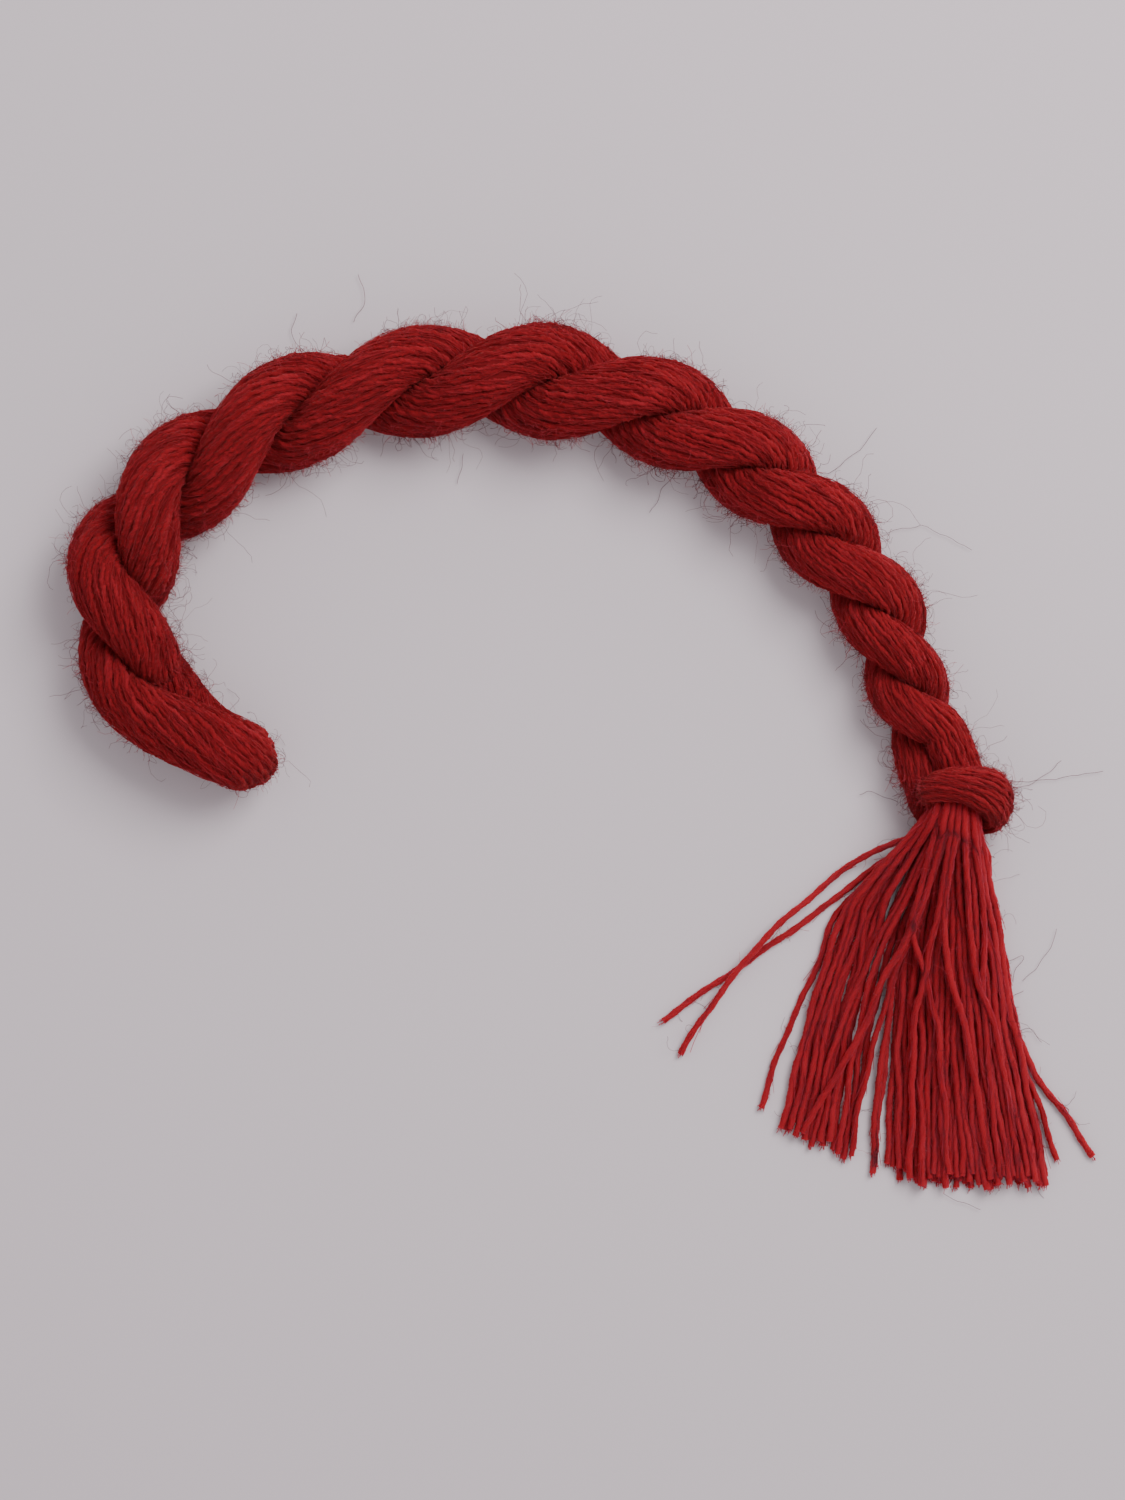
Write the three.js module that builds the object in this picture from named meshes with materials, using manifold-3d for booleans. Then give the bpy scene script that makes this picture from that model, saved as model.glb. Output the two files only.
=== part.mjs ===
// A small hank of red wool: a bundle of yarns folded in half, its two legs twisted round each other into
// a short rope that lies in an arch, one leg hitched round the other near the cut end, and below the
// hitch the cut ends of the yarns, which fan out as a tassel.
// Millimetres, +Z up. The hank lies on z = 0 and the middle of its box is over the origin.
import * as THREE from "three";
import { mergeVertices } from "three/addons/utils/BufferGeometryUtils.js";
import Module from "manifold-3d";

const wasm = await Module();
wasm.setup();

// The bundle of yarns
const LEG_SIDES = 16;
const RING_STEP = 1.75; // along the rope
const LOOK_AHEAD = 0.01; // how far ahead a line's direction is read
const LEG_OFFSET_SHARE = 0.47; // of the rope's reach: how far each leg's middle is from the rope's line
const LEG_THICK_SHARE = 0.53; // of the rope's reach: half the leg's depth, so that the legs press together
const FOOT_PRESS = 0.3; // how far the soft wool is pressed flat where it meets the table
const FOLD_STRETCH = 1.07; // how much longer than round the folded end is
const FOLD_DEGREES = [100, 72, 46, 22]; // where leg A's stations are round the fold, from its middle
const FOLD_OFFSET_SHARE = 0.52; // of the rope's reach: the legs part a little where they bend
const FOLD_THICK_SHARE = 0.48;
const FOLD_FILL_SHARE = 0.85; // of a leg's width: the yarns in the middle of the fold
const FINE_RINGS = 1; // how many of the rope's last rings get half steps between them, like the hitch

// The rope's line, one row for each half turn of the legs and four more round the folded end.
// turn: half turns of the legs; reach: half the rope's width; wide: half a leg's width
const ROPE_ROWS = [
  { x: -33.2, y: 0.6, turn: -0.5, reach: 4.95, wide: 3.3 },
  { x: -35.3, y: 1.6, turn: -0.48, reach: 4.95, wide: 3.3 },
  { x: -37.6, y: 3.1, turn: -0.4, reach: 4.95, wide: 3.2 },
  { x: -40.0, y: 5.2, turn: -0.24, reach: 4.85, wide: 3.1 },
  { x: -42.3, y: 8.4, turn: 0, reach: 4.8, wide: 3.0 },
  { x: -42.9, y: 18.5, turn: 1, reach: 5.25, wide: 3.05 },
  { x: -36.7, y: 26.4, turn: 2, reach: 5.3, wide: 3.05 },
  { x: -26.6, y: 32.3, turn: 3, reach: 5.3, wide: 3.05 },
  { x: -14.7, y: 35.1, turn: 4, reach: 5.3, wide: 3.05 },
  { x: -2.9, y: 35.0, turn: 5, reach: 5.5, wide: 3.1 },
  { x: 8.1, y: 31.9, turn: 6, reach: 5.0, wide: 2.9 },
  { x: 16.5, y: 26.9, turn: 7, reach: 4.75, wide: 2.75 },
  { x: 23.0, y: 20.6, turn: 8, reach: 4.6, wide: 2.6 },
  { x: 28.0, y: 13.5, turn: 9, reach: 4.2, wide: 2.4 },
  { x: 30.5, y: 6.7, turn: 10, reach: 3.85, wide: 2.2 },
  { x: 33.1, y: 0.4, turn: 11, reach: 4.1, wide: 2.2 },
];

// The hitch: leg A dips behind leg B, comes up on its far side, crosses in front and tucks in.
// thick: half the depth away from leg B; wide: half the width along it
const HITCH_ROWS = [
  { x: 31.9, y: -2.5, z: 3.4, thick: 1.9, wide: 2.0 },
  { x: 32.8, y: -4.7, z: 2.2, thick: 1.7, wide: 2.0 },
  { x: 34.7, y: -5.4, z: 1.6, thick: 1.6, wide: 2.0 },
  { x: 37.2, y: -5.3, z: 2.1, thick: 1.7, wide: 2.2 },
  { x: 38.7, y: -4.4, z: 4.2, thick: 1.7, wide: 2.5 },
  { x: 37.9, y: -3.3, z: 6.5, thick: 1.7, wide: 2.3 },
  { x: 35.8, y: -2.7, z: 7.6, thick: 1.6, wide: 1.8 },
  { x: 33.5, y: -2.7, z: 7.0, thick: 1.5, wide: 1.5 },
  { x: 32.5, y: -3.4, z: 5.5, thick: 1.4, wide: 1.3 },
  { x: 33.5, y: -4.3, z: 4.5, thick: 1.2, wide: 1.3 },
];
// Leg B inside the hitch
const CORE_ROWS = [
  { x: 35.2, y: -1.8, z: 4.2, thick: 2.4, wide: 2.3 },
  { x: 35.0, y: -4.4, z: 4.3, thick: 2.5, wide: 2.5 },
  { x: 34.6, y: -7.5, z: 4.0, thick: 2.7, wide: 2.7 },
];
const HITCH_MIDDLE = new THREE.Vector3(35.1, -4, 4.3); // leg B runs through it along Y

// The tassel's root, where the hank is cut off square to it
const ROOT_MIDDLE = new THREE.Vector3(34.6, -6.5, 3.9);
const ROOT_ACROSS = new THREE.Vector3(0.96, -0.28, 0).normalize();
const ROOT_DOWN = new THREE.Vector3(-0.28, -0.96, 0).normalize();
const ROOT_GAP = 0.35; // between the hank's solid and the tassel's
const ROOT_HALF_WIDTH = 3.15;
const ROOT_HALF_HEIGHT = 3.4;
const ROOT_LENGTH = 2.4;
const ROOT_GROWTH = 0.06; // how much the root widens over its length
const CUT_BOX = 40;

// The yarns' cut ends
const STRAND_HALF = 0.19; // half the side of a strand's square section
const STRAND_SPACING = 0.68; // the least distance between two strands' middles
const ROOT_SPACING = 0.75; // between the strands in the root
const ROW_STEP_SHARE = 0.87; // of the spacing: from one row of a close packing to the next
const MOST_ACROSS = 6; // strands to each side of the middle of a row, before the oval cuts it short
const STRAND_SINK = 0.7; // how far a strand's start is inside the tassel's root
const TIP_SPREAD = 0.45; // how unevenly the ends are cut, along the strand
const SETTLE_PASSES = 90;
const PULL_SHARE = 0.04; // of the way to its aim, by which a strand moves in one pass
const SHARE_AHEAD = 0.01; // the share of its length ahead at which a strand's slant is read
const STEPS = 24; // along a strand, from the root to the cut end
const RING_STEPS = [4, 7, 11, 17, 24]; // the steps that get a ring of points
const DROP_SHARE = 0.34; // of a strand's length, in which it comes down from the root to the table

// How the fan lies on the table: each row is one strand's line, at equal shares of its length.
// across: the share of the strands to its left
const FAN_ROWS = [
  { across: 0.0, x: [32.0, 25.6, 23.7, 21.5, 19.1], y: [-6.5, -13.5, -18.8, -25.1, -35.0] },
  { across: 0.13, x: [32.7, 28.0, 26.1, 24.1, 22.4], y: [-6.5, -13.5, -19.1, -26.5, -36.4] },
  { across: 0.27, x: [33.4, 31.1, 29.7, 28.0, 26.5], y: [-6.5, -13.5, -19.5, -28.4, -38.3] },
  { across: 0.31, x: [33.6, 31.7, 30.8, 30.0, 29.6], y: [-6.5, -13.5, -20.9, -30.3, -39.6] },
  { across: 0.62, x: [35.1, 35.4, 35.7, 36.1, 36.8], y: [-6.5, -13.5, -21.9, -31.2, -40.2] },
  { across: 1.0, x: [37.4, 38.1, 39.1, 40.8, 43.4], y: [-6.8, -13.9, -20.5, -29.4, -40.1] },
];

// The strands stand in groups, with gaps between them on the left. strands: the share of the strands to
// the left of a place; across: where that place is in the fan
const GROUP_ROWS = [
  { strands: 0.0, across: 0.0 },
  { strands: 0.08, across: 0.07 },
  { strands: 0.085, across: 0.105 },
  { strands: 0.155, across: 0.165 },
  { strands: 0.16, across: 0.205 },
  { strands: 0.185, across: 0.235 },
  { strands: 0.19, across: 0.28 },
  { strands: 0.205, across: 0.3 },
  { strands: 0.21, across: 0.32 },
  { strands: 0.58, across: 0.63 },
  { strands: 0.585, across: 0.66 },
  { strands: 1.0, across: 1.0 },
];

// Single yarns that have sprung out of the fan. rise: how high they lie at each share of their length
const STRAY_ROWS = [
  {
    x: [32.1, 26.1, 20.6, 14.6, 9.4],
    y: [-7.0, -9.8, -14.2, -20.1, -28.2],
    rise: [3.8, 0.8, 0.9, 1.0, 0],
  },
  {
    x: [32.1, 26.8, 21.3, 14.7, 7.7],
    y: [-7.4, -11.2, -15.5, -20.0, -25.1],
    rise: [2.9, 0, 0, 0, 0],
  },
  {
    x: [32.3, 25.0, 22.7, 19.9, 16.8],
    y: [-7.8, -13.8, -18.4, -25.0, -33.3],
    rise: [2.0, 0, 0, 0, 0],
  },
  {
    x: [36.9, 38.9, 40.0, 42.3, 48.3],
    y: [-8.3, -13.9, -21.4, -28.8, -37.9],
    rise: [2.6, 0, 0, 0, 0],
  },
  {
    x: [36.7, 38.8, 40.1, 42.0, 44.9],
    y: [-8.3, -13.7, -20.8, -29.8, -38.2],
    rise: [4.0, 0.9, 0.8, 0.5, 0],
  },
];

const WOOL = new THREE.MeshStandardMaterial({ color: "#8e1c20", roughness: 0.95 });

// The rows with their distance along the line
function measured(rows) {
  let along = 0;
  return rows.map((row, i) => {
    if (i > 0) along += Math.hypot(row.x - rows[i - 1].x, row.y - rows[i - 1].y);
    return { ...row, along };
  });
}

// The slope of one column at row i, by the rows on both sides of it
function slopeAt(rows, key, i) {
  const before = rows[Math.max(i - 1, 0)];
  const after = rows[Math.min(i + 1, rows.length - 1)];
  return (after[key] - before[key]) / (after.along - before.along);
}

// A smooth value of one column at a distance along the rows
function smooth(rows, key, along) {
  let i = 0;
  while (i < rows.length - 2 && rows[i + 1].along < along) i += 1;
  const span = rows[i + 1].along - rows[i].along;
  const t = (along - rows[i].along) / span;
  const rise = rows[i + 1][key] - rows[i][key];
  const into = slopeAt(rows, key, i) * span;
  const outOf = slopeAt(rows, key, i + 1) * span;
  const cubic = into + outOf - 2 * rise;
  const square = 3 * rise - 2 * into - outOf;
  return rows[i][key] + into * t + square * t * t + cubic * t * t * t;
}

// The value at a share 0..1 of a list of equally spaced numbers, on a smooth curve through them
function shareOf(values, share) {
  const curve = new THREE.SplineCurve(values.map((v, i) => new THREE.Vector2(i, v)));
  return curve.getPoint(share).y;
}

// One station of a leg: the middle of its section, the way out of the rope and the section's half sizes
function legStation(rows, along, half) {
  const here = Object.fromEntries(
    ["x", "y", "turn", "reach", "wide"].map((key) => [key, smooth(rows, key, along)]),
  );
  const ahead = new THREE.Vector3(
    smooth(rows, "x", along + LOOK_AHEAD) - here.x,
    smooth(rows, "y", along + LOOK_AHEAD) - here.y,
    0,
  ).normalize();
  const left = new THREE.Vector3(-ahead.y, ahead.x, 0);
  const angle = Math.PI * (here.turn + half);
  const out = left.multiplyScalar(Math.cos(angle));
  out.z = -Math.sin(angle);
  const middle = new THREE.Vector3(here.x, here.y, here.reach - FOOT_PRESS);
  middle.addScaledVector(out, here.reach * LEG_OFFSET_SHARE);
  return { middle, out, thick: here.reach * LEG_THICK_SHARE, wide: here.wide };
}

// All the stations of one leg in the rope; half is 0 for leg A and 1, half a turn on, for leg B
function ropeStations(half) {
  const rows = measured(ROPE_ROWS);
  const length = rows[rows.length - 1].along;
  const count = Math.round(length / RING_STEP);
  return Array.from({ length: count }, (_, i) => legStation(rows, (length * i) / count, half));
}

// The stations of leg A in the hitch, whose sections face away from leg B
function hitchStations() {
  return HITCH_ROWS.map(({ x, y, z, thick, wide }) => {
    const middle = new THREE.Vector3(x, y, z);
    const out = middle.clone().sub(HITCH_MIDDLE).setY(0).normalize();
    return { middle, out, thick, wide };
  });
}

// The stations of leg B inside the hitch
function coreStations() {
  return CORE_ROWS.map(({ x, y, z, thick, wide }) => ({
    middle: new THREE.Vector3(x, y, z),
    out: new THREE.Vector3(1, 0, 0),
    thick,
    wide,
  }));
}

// The stations of one leg from the middle of the fold to the rope's first station
function foldStations(rope) {
  const [end, next] = ROPE_ROWS;
  const away = new THREE.Vector3(end.x - next.x, end.y - next.y, 0).normalize();
  const axis = new THREE.Vector3(end.x, end.y, end.reach - FOOT_PRESS);
  const offset = end.reach * FOLD_OFFSET_SHARE;
  return FOLD_DEGREES.map((degrees) => {
    const turned = THREE.MathUtils.degToRad(degrees);
    const out = rope[0].out.clone().multiplyScalar(Math.cos(turned));
    out.addScaledVector(away, Math.sin(turned));
    const middle = axis.clone().addScaledVector(rope[0].out, offset * Math.cos(turned));
    middle.addScaledVector(away, offset * Math.sin(turned) * FOLD_STRETCH);
    return { middle, out, thick: end.reach * FOLD_THICK_SHARE, wide: end.wide };
  });
}

// More stations between the given ones, from index `from` on, along a smooth curve through them
function refined(stations, from) {
  const curve = new THREE.CatmullRomCurve3(stations.map((s) => s.middle));
  const last = stations.length - 1;
  const made = stations.slice(0, from);
  for (let at = from; at <= last; at += 0.5) {
    const a = stations[Math.floor(at)];
    const b = stations[Math.ceil(at)];
    made.push({
      middle: curve.getPoint(at / last),
      out: a.out.clone().add(b.out).normalize(),
      thick: (a.thick + b.thick) / 2,
      wide: (a.wide + b.wide) / 2,
    });
  }
  return made;
}

// The direction of a line of stations at index i
function directionAt(stations, i) {
  const before = stations[Math.max(i - 1, 0)].middle;
  const after = stations[Math.min(i + 1, stations.length - 1)].middle;
  return after.clone().sub(before).normalize();
}

// One oval ring of points round a station, none of them under the table
function ovalRing(station, ahead) {
  const out = station.out.clone().addScaledVector(ahead, -station.out.dot(ahead)).normalize();
  const side = ahead.clone().cross(out);
  return Array.from({ length: LEG_SIDES }, (_, i) => {
    const angle = (2 * Math.PI * i) / LEG_SIDES;
    const point = station.middle.clone();
    point.addScaledVector(out, station.thick * Math.cos(angle));
    point.addScaledVector(side, station.wide * Math.sin(angle));
    point.z = Math.max(point.z, 0);
    return point;
  });
}

// A closed surface over a row of rings, as flat triangles
function skinned(rings) {
  const faces = [];
  const sides = rings[0].length;
  for (let r = 0; r + 1 < rings.length; r += 1) {
    for (let i = 0; i < sides; i += 1) {
      const j = (i + 1) % sides;
      faces.push(rings[r][i], rings[r][j], rings[r + 1][j]);
      faces.push(rings[r][i], rings[r + 1][j], rings[r + 1][i]);
    }
  }
  const last = rings[rings.length - 1];
  for (let i = 1; i + 1 < sides; i += 1) {
    faces.push(rings[0][0], rings[0][i + 1], rings[0][i]);
    faces.push(last[0], last[i], last[i + 1]);
  }
  return new THREE.BufferGeometry().setFromPoints(faces);
}

// A geometry as a solid that can be added to and cut
function solidOf(geometry) {
  const plain = geometry.index ? geometry.toNonIndexed() : geometry;
  const bare = new THREE.BufferGeometry().setAttribute("position", plain.getAttribute("position"));
  const merged = mergeVertices(bare, 1e-4);
  return new wasm.Manifold(
    new wasm.Mesh({
      numProp: 3,
      vertProperties: merged.getAttribute("position").array,
      triVerts: new Uint32Array(merged.index.array),
    }),
  );
}

function legSolid(stations) {
  return solidOf(skinned(stations.map((s, i) => ovalRing(s, directionAt(stations, i)))));
}

// The yarns in the middle of the fold, round which the bundle turns back on itself
function foldSolid() {
  const [end, next] = ROPE_ROWS;
  const ball = new THREE.SphereGeometry(1, 16, 12);
  const across = end.reach * LEG_OFFSET_SHARE;
  ball.scale(across, end.wide * FOLD_FILL_SHARE, across);
  ball.rotateZ(Math.atan2(next.y - end.y, next.x - end.x));
  ball.translate(end.x, end.y, end.reach - FOOT_PRESS);
  return solidOf(ball);
}

// Everything beyond the plane square to the tassel's root
function beyondRoot() {
  const box = new THREE.BoxGeometry(CUT_BOX, CUT_BOX, CUT_BOX);
  box.translate(0, -CUT_BOX / 2, 0);
  box.rotateZ(Math.atan2(ROOT_ACROSS.y, ROOT_ACROSS.x));
  box.translate(ROOT_MIDDLE.x, ROOT_MIDDLE.y, ROOT_MIDDLE.z);
  return solidOf(box);
}

function hankSolid() {
  const ropeA = ropeStations(0);
  const ropeB = ropeStations(1);
  const fineFrom = FOLD_DEGREES.length + ropeA.length - FINE_RINGS;
  const legA = refined([...foldStations(ropeA), ...ropeA, ...hitchStations()], fineFrom);
  const legB = refined([...foldStations(ropeB), ...ropeB, ...coreStations()], fineFrom);
  return foldSolid().add(legSolid(legA)).add(legSolid(legB)).subtract(beyondRoot());
}

// A repeatable number from 0 to 1 for strand i
function chance(i, salt) {
  const wave = Math.sin(i * 12.9898 + salt * 78.233) * 43758.5453;
  return wave - Math.floor(wave);
}

// Where the strands leave the root: rows of a close packing that fits its oval, from left to right
function rootPlaces() {
  const places = [];
  const rowStep = ROOT_SPACING * ROW_STEP_SHARE;
  const rows = Math.floor(ROOT_HALF_HEIGHT / rowStep);
  for (let row = -rows; row <= rows; row += 1) {
    const up = row * rowStep;
    const reach = ROOT_HALF_WIDTH * Math.sqrt(1 - (up / ROOT_HALF_HEIGHT) ** 2) - STRAND_HALF;
    const shift = row % 2 === 0 ? 0 : ROOT_SPACING / 2;
    for (let a = -MOST_ACROSS; a <= MOST_ACROSS; a += 1) {
      const across = a * ROOT_SPACING + shift;
      if (Math.abs(across) <= reach) places.push({ across, up });
    }
  }
  places.sort((p, q) => p.across - q.across || p.up - q.up);
  return places;
}

// Where a strand lies in the fan, by the share of the strands to its left
function acrossOf(share) {
  let i = 0;
  while (i < GROUP_ROWS.length - 2 && GROUP_ROWS[i + 1].strands < share) i += 1;
  const [a, b] = [GROUP_ROWS[i], GROUP_ROWS[i + 1]];
  return a.across + ((b.across - a.across) * (share - a.strands)) / (b.strands - a.strands);
}

// The fan's line at one share across it and one share along it
function fanPoint(across, share) {
  let i = 0;
  while (i < FAN_ROWS.length - 2 && FAN_ROWS[i + 1].across < across) i += 1;
  const [a, b] = [FAN_ROWS[i], FAN_ROWS[i + 1]];
  const t = (across - a.across) / (b.across - a.across);
  return {
    x: shareOf(a.x, share) * (1 - t) + shareOf(b.x, share) * t,
    y: shareOf(a.y, share) * (1 - t) + shareOf(b.y, share) * t,
  };
}

// How much closer two slanting strands are than their distance along X: the cosine of their slant
function slantAt(across, share) {
  const here = fanPoint(across, share);
  const next = fanPoint(across, share + SHARE_AHEAD);
  return Math.abs(next.y - here.y) / Math.hypot(next.x - here.x, next.y - here.y);
}

// Pushes two strands' sections apart where they are closer than the spacing
function pushApart(p, q) {
  const dx = q.x - p.x;
  const dz = q.z - p.z;
  const apart = Math.hypot(dx * Math.min(p.slant, q.slant), dz);
  if (apart >= STRAND_SPACING || apart === 0) return;
  const push = (STRAND_SPACING - apart) / apart / (p.fixed || q.fixed ? 1 : 2);
  if (!p.fixed) {
    p.x -= dx * push;
    p.z -= dz * push;
  }
  if (!q.fixed) {
    q.x += dx * push;
    q.z += dz * push;
  }
}

// Lets the strands' sections sink on to the table and on to each other at one station
function settle(sections) {
  for (let pass = 0; pass < SETTLE_PASSES; pass += 1) {
    const pull = pass < SETTLE_PASSES / 2 ? PULL_SHARE : 0;
    for (const section of sections) {
      if (section.fixed) continue;
      section.x += (section.aim.x - section.x) * pull;
      section.z += (section.aim.z - section.z) * pull;
    }
    for (let i = 0; i < sections.length; i += 1) {
      for (let j = i + 1; j < sections.length; j += 1) pushApart(sections[i], sections[j]);
    }
    for (const section of sections) section.z = Math.max(section.z, STRAND_HALF);
  }
}

// The place of one stray at a share of its length
function strayPoint({ x, y, rise }, share) {
  const up = Math.max(shareOf(rise, share), 0);
  return new THREE.Vector3(shareOf(x, share), shareOf(y, share), STRAND_HALF + up);
}

// Where one strand starts, inside the root
function startPoint({ across, up }) {
  const start = ROOT_MIDDLE.clone().addScaledVector(ROOT_ACROSS, across);
  start.addScaledVector(ROOT_DOWN, ROOT_LENGTH - STRAND_SINK);
  start.z += up;
  return start;
}

// Where one strand would lie at a share of its length if it had the fan to itself
function aimOf(start, across, share) {
  const drop = Math.max(1 - share / DROP_SHARE, 0);
  const leave = Math.min((share * STEPS) / RING_STEPS[0], 1);
  const fan = fanPoint(across, share);
  return {
    x: start.x + (fan.x - start.x) * leave,
    y: start.y + (fan.y - start.y) * leave,
    z: STRAND_HALF + (start.z - STRAND_HALF) * drop,
    slant: slantAt(across, share),
  };
}

// The lines of all the strands, settled step by step from the root to the cut ends
function strandLines() {
  const starts = rootPlaces().map(startPoint);
  const across = starts.map((_, i) => acrossOf((i + 0.5) / starts.length));
  const lines = starts.map((start) => [start]);
  const strayPaths = STRAY_ROWS.map((row) => [strayPoint(row, 0)]);
  let held = starts.map((start) => ({ x: start.x, z: start.z, aim: start }));
  for (let step = 1; step <= STEPS; step += 1) {
    const share = step / STEPS;
    held = held.map((section, i) => {
      const aim = aimOf(starts[i], across[i], share);
      return { aim, x: aim.x + section.x - section.aim.x, z: section.z, slant: aim.slant };
    });
    const strays = STRAY_ROWS.map((row) => strayPoint(row, share));
    settle([...held, ...strays.map(({ x, z }) => ({ x, z, slant: 1, fixed: true }))]);
    if (RING_STEPS.includes(step)) {
      strays.forEach((point, i) => strayPaths[i].push(point));
      held.forEach(({ x, z, aim }, i) => {
        const uneven = step === STEPS ? (chance(i, 1) - 0.5) * 2 * TIP_SPREAD : 0;
        lines[i].push(new THREE.Vector3(x, aim.y + uneven, z));
      });
    }
  }
  return [...lines, ...strayPaths];
}

// One strand, square in section with a flat side down, so that it rests level on the table
function strandSolid(line) {
  const rings = line.map((middle, i) => {
    const ahead = line[Math.min(i + 1, line.length - 1)].clone().sub(line[Math.max(i - 1, 0)]);
    const side = new THREE.Vector3(-ahead.y, ahead.x, 0).setLength(STRAND_HALF);
    const corners = [
      [1, -1],
      [1, 1],
      [-1, 1],
      [-1, -1],
    ];
    return corners.map(([s, up]) => {
      const point = middle.clone().addScaledVector(side, s);
      point.z = Math.max(point.z + up * STRAND_HALF, 0);
      return point;
    });
  });
  return solidOf(skinned(rings));
}

// The head of the tassel, into which the strands' roots are fused
function rootSolid() {
  const reaches = [0, 0.5, 1].map((share) => {
    const middle = ROOT_MIDDLE.clone();
    middle.addScaledVector(ROOT_DOWN, ROOT_GAP + share * (ROOT_LENGTH - ROOT_GAP));
    const grown = 1 + ROOT_GROWTH * share;
    return {
      middle,
      out: new THREE.Vector3(0, 0, 1),
      thick: ROOT_HALF_HEIGHT * grown,
      wide: ROOT_HALF_WIDTH * grown,
    };
  });
  return legSolid(reaches);
}

function tasselSolid() {
  const strands = strandLines().map(strandSolid);
  return strands.reduce((whole, strand) => whole.add(strand), rootSolid());
}

function node(name, solid) {
  const made = solid.getMesh();
  const geometry = new THREE.BufferGeometry();
  geometry.setAttribute("position", new THREE.BufferAttribute(made.vertProperties, 3));
  geometry.setIndex(new THREE.BufferAttribute(made.triVerts, 1));
  geometry.computeVertexNormals();
  const mesh = new THREE.Mesh(geometry, WOOL);
  mesh.name = name;
  return mesh;
}

const group = new THREE.Group();
group.add(node("twisted_hank", hankSolid()));
group.add(node("tassel", tasselSolid()));

export default group;
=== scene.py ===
# %% [markdown]
# # A twisted hank of red wool
#
# The object is a sample hank of two-ply wool: about forty-five yarns laid side by side, folded in half and
# twisted into a short rope, with one leg hitched round the other and the cut ends left as a tassel.
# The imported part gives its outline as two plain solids. This lesson dresses them in what the eye looks for
# in wool: separate plied yarns, loose fibres standing off them, and soft dark hollows between the legs.

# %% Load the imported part
import math

import bpy
import numpy as np
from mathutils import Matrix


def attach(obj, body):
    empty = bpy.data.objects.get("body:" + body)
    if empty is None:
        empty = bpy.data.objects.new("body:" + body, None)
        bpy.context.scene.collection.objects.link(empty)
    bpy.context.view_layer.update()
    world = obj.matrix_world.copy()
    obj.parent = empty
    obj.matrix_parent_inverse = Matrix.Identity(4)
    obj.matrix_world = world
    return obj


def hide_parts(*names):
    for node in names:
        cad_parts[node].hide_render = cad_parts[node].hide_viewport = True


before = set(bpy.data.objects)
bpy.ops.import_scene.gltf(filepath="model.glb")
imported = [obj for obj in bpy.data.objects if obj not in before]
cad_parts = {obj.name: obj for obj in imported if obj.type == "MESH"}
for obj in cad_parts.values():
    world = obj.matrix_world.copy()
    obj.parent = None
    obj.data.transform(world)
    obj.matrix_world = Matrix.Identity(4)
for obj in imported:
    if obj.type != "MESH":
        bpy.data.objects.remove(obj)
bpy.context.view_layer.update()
MM = 0.001
print("part loaded:", sorted(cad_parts))

# %% [markdown]
# ## The camera
#
# The photograph looks straight down from about forty centimetres, so it shows the hank almost in plan.
# A camera in Blender looks along its own -Z axis, so one that is not turned at all already looks down. Its
# focal length follows from the height and from how many millimetres of the table the picture takes in.

# %% Camera straight above
CAMERA_HEIGHT = 400 * MM  # above the middle of the rope
ROPE_MIDDLE_Z = 5.3 * MM
PICTURE_HEIGHT = 140.2 * MM  # how much of the table the picture takes in, from bottom to top
PICTURE_CENTRE = (-1.87 * MM, 0.56 * MM)
SENSOR = 36  # millimetres

camera_data = bpy.data.cameras.new("overhead_camera")
camera_data.sensor_fit = "VERTICAL"
camera_data.sensor_height = SENSOR
camera_data.lens = SENSOR * CAMERA_HEIGHT / PICTURE_HEIGHT
camera_data.clip_start = 10 * MM
camera = bpy.data.objects.new("overhead_camera", camera_data)
camera.location = (*PICTURE_CENTRE, ROPE_MIDDLE_Z + CAMERA_HEIGHT)
bpy.context.scene.collection.objects.link(camera)
bpy.context.scene.camera = camera
print("lens", round(camera_data.lens, 1), "mm")

# %% [markdown]
# ## Colours and nodes
#
# Colours are easiest to name as sRGB hex values, but shaders work in linear light, so one function converts
# them. A second small function adds any node to a tree with its settings and links, which keeps each
# material short enough to read as a recipe.

# %% Two helpers
def linear(hex_colour):
    """An sRGB hex value as linear red, green, blue and alpha."""
    values = [int(hex_colour[i : i + 2], 16) / 255 for i in (1, 3, 5)]
    return [v / 12.92 if v <= 0.04045 else ((v + 0.055) / 1.055) ** 2.4 for v in values] + [1.0]


def add_node(tree, kind, settings=None, **sockets):
    """Adds a node; each socket gets a value, or another node's output as its link."""
    node = tree.nodes.new(kind)
    for name, value in (settings or {}).items():
        setattr(node, name, value)
    for name, value in sockets.items():
        index = int(name[1:]) if name[0] == "i" and name[1:].isdigit() else name.replace("_", " ")
        socket = node.inputs[index]
        if isinstance(value, bpy.types.NodeSocket):
            tree.links.new(value, socket)
        else:
            socket.default_value = value
    return node


print("mid grey in linear light:", round(linear("#808080")[0], 3))

# %% [markdown]
# ## The table and the light
#
# The hank lies on a plain pale surface under soft, even light that comes a little more from the upper right.
# A large lamp gives the soft edge that the shadows have, and a bright world fills them in.

# %% Table
TABLE_SIDE = 1.6  # metres, so that no edge of it shows from above
TABLE_DROP = 0.02 * MM  # just under the wool, so that the two surfaces do not flicker

table_mesh = bpy.data.meshes.new("table")
half = TABLE_SIDE / 2
corners = [(x, y, -TABLE_DROP) for x, y in ((-half, -half), (half, -half), (half, half), (-half, half))]
table_mesh.from_pydata(corners, [], [(0, 1, 2, 3)])
table = bpy.data.objects.new("table", table_mesh)
bpy.context.scene.collection.objects.link(table)

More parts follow.
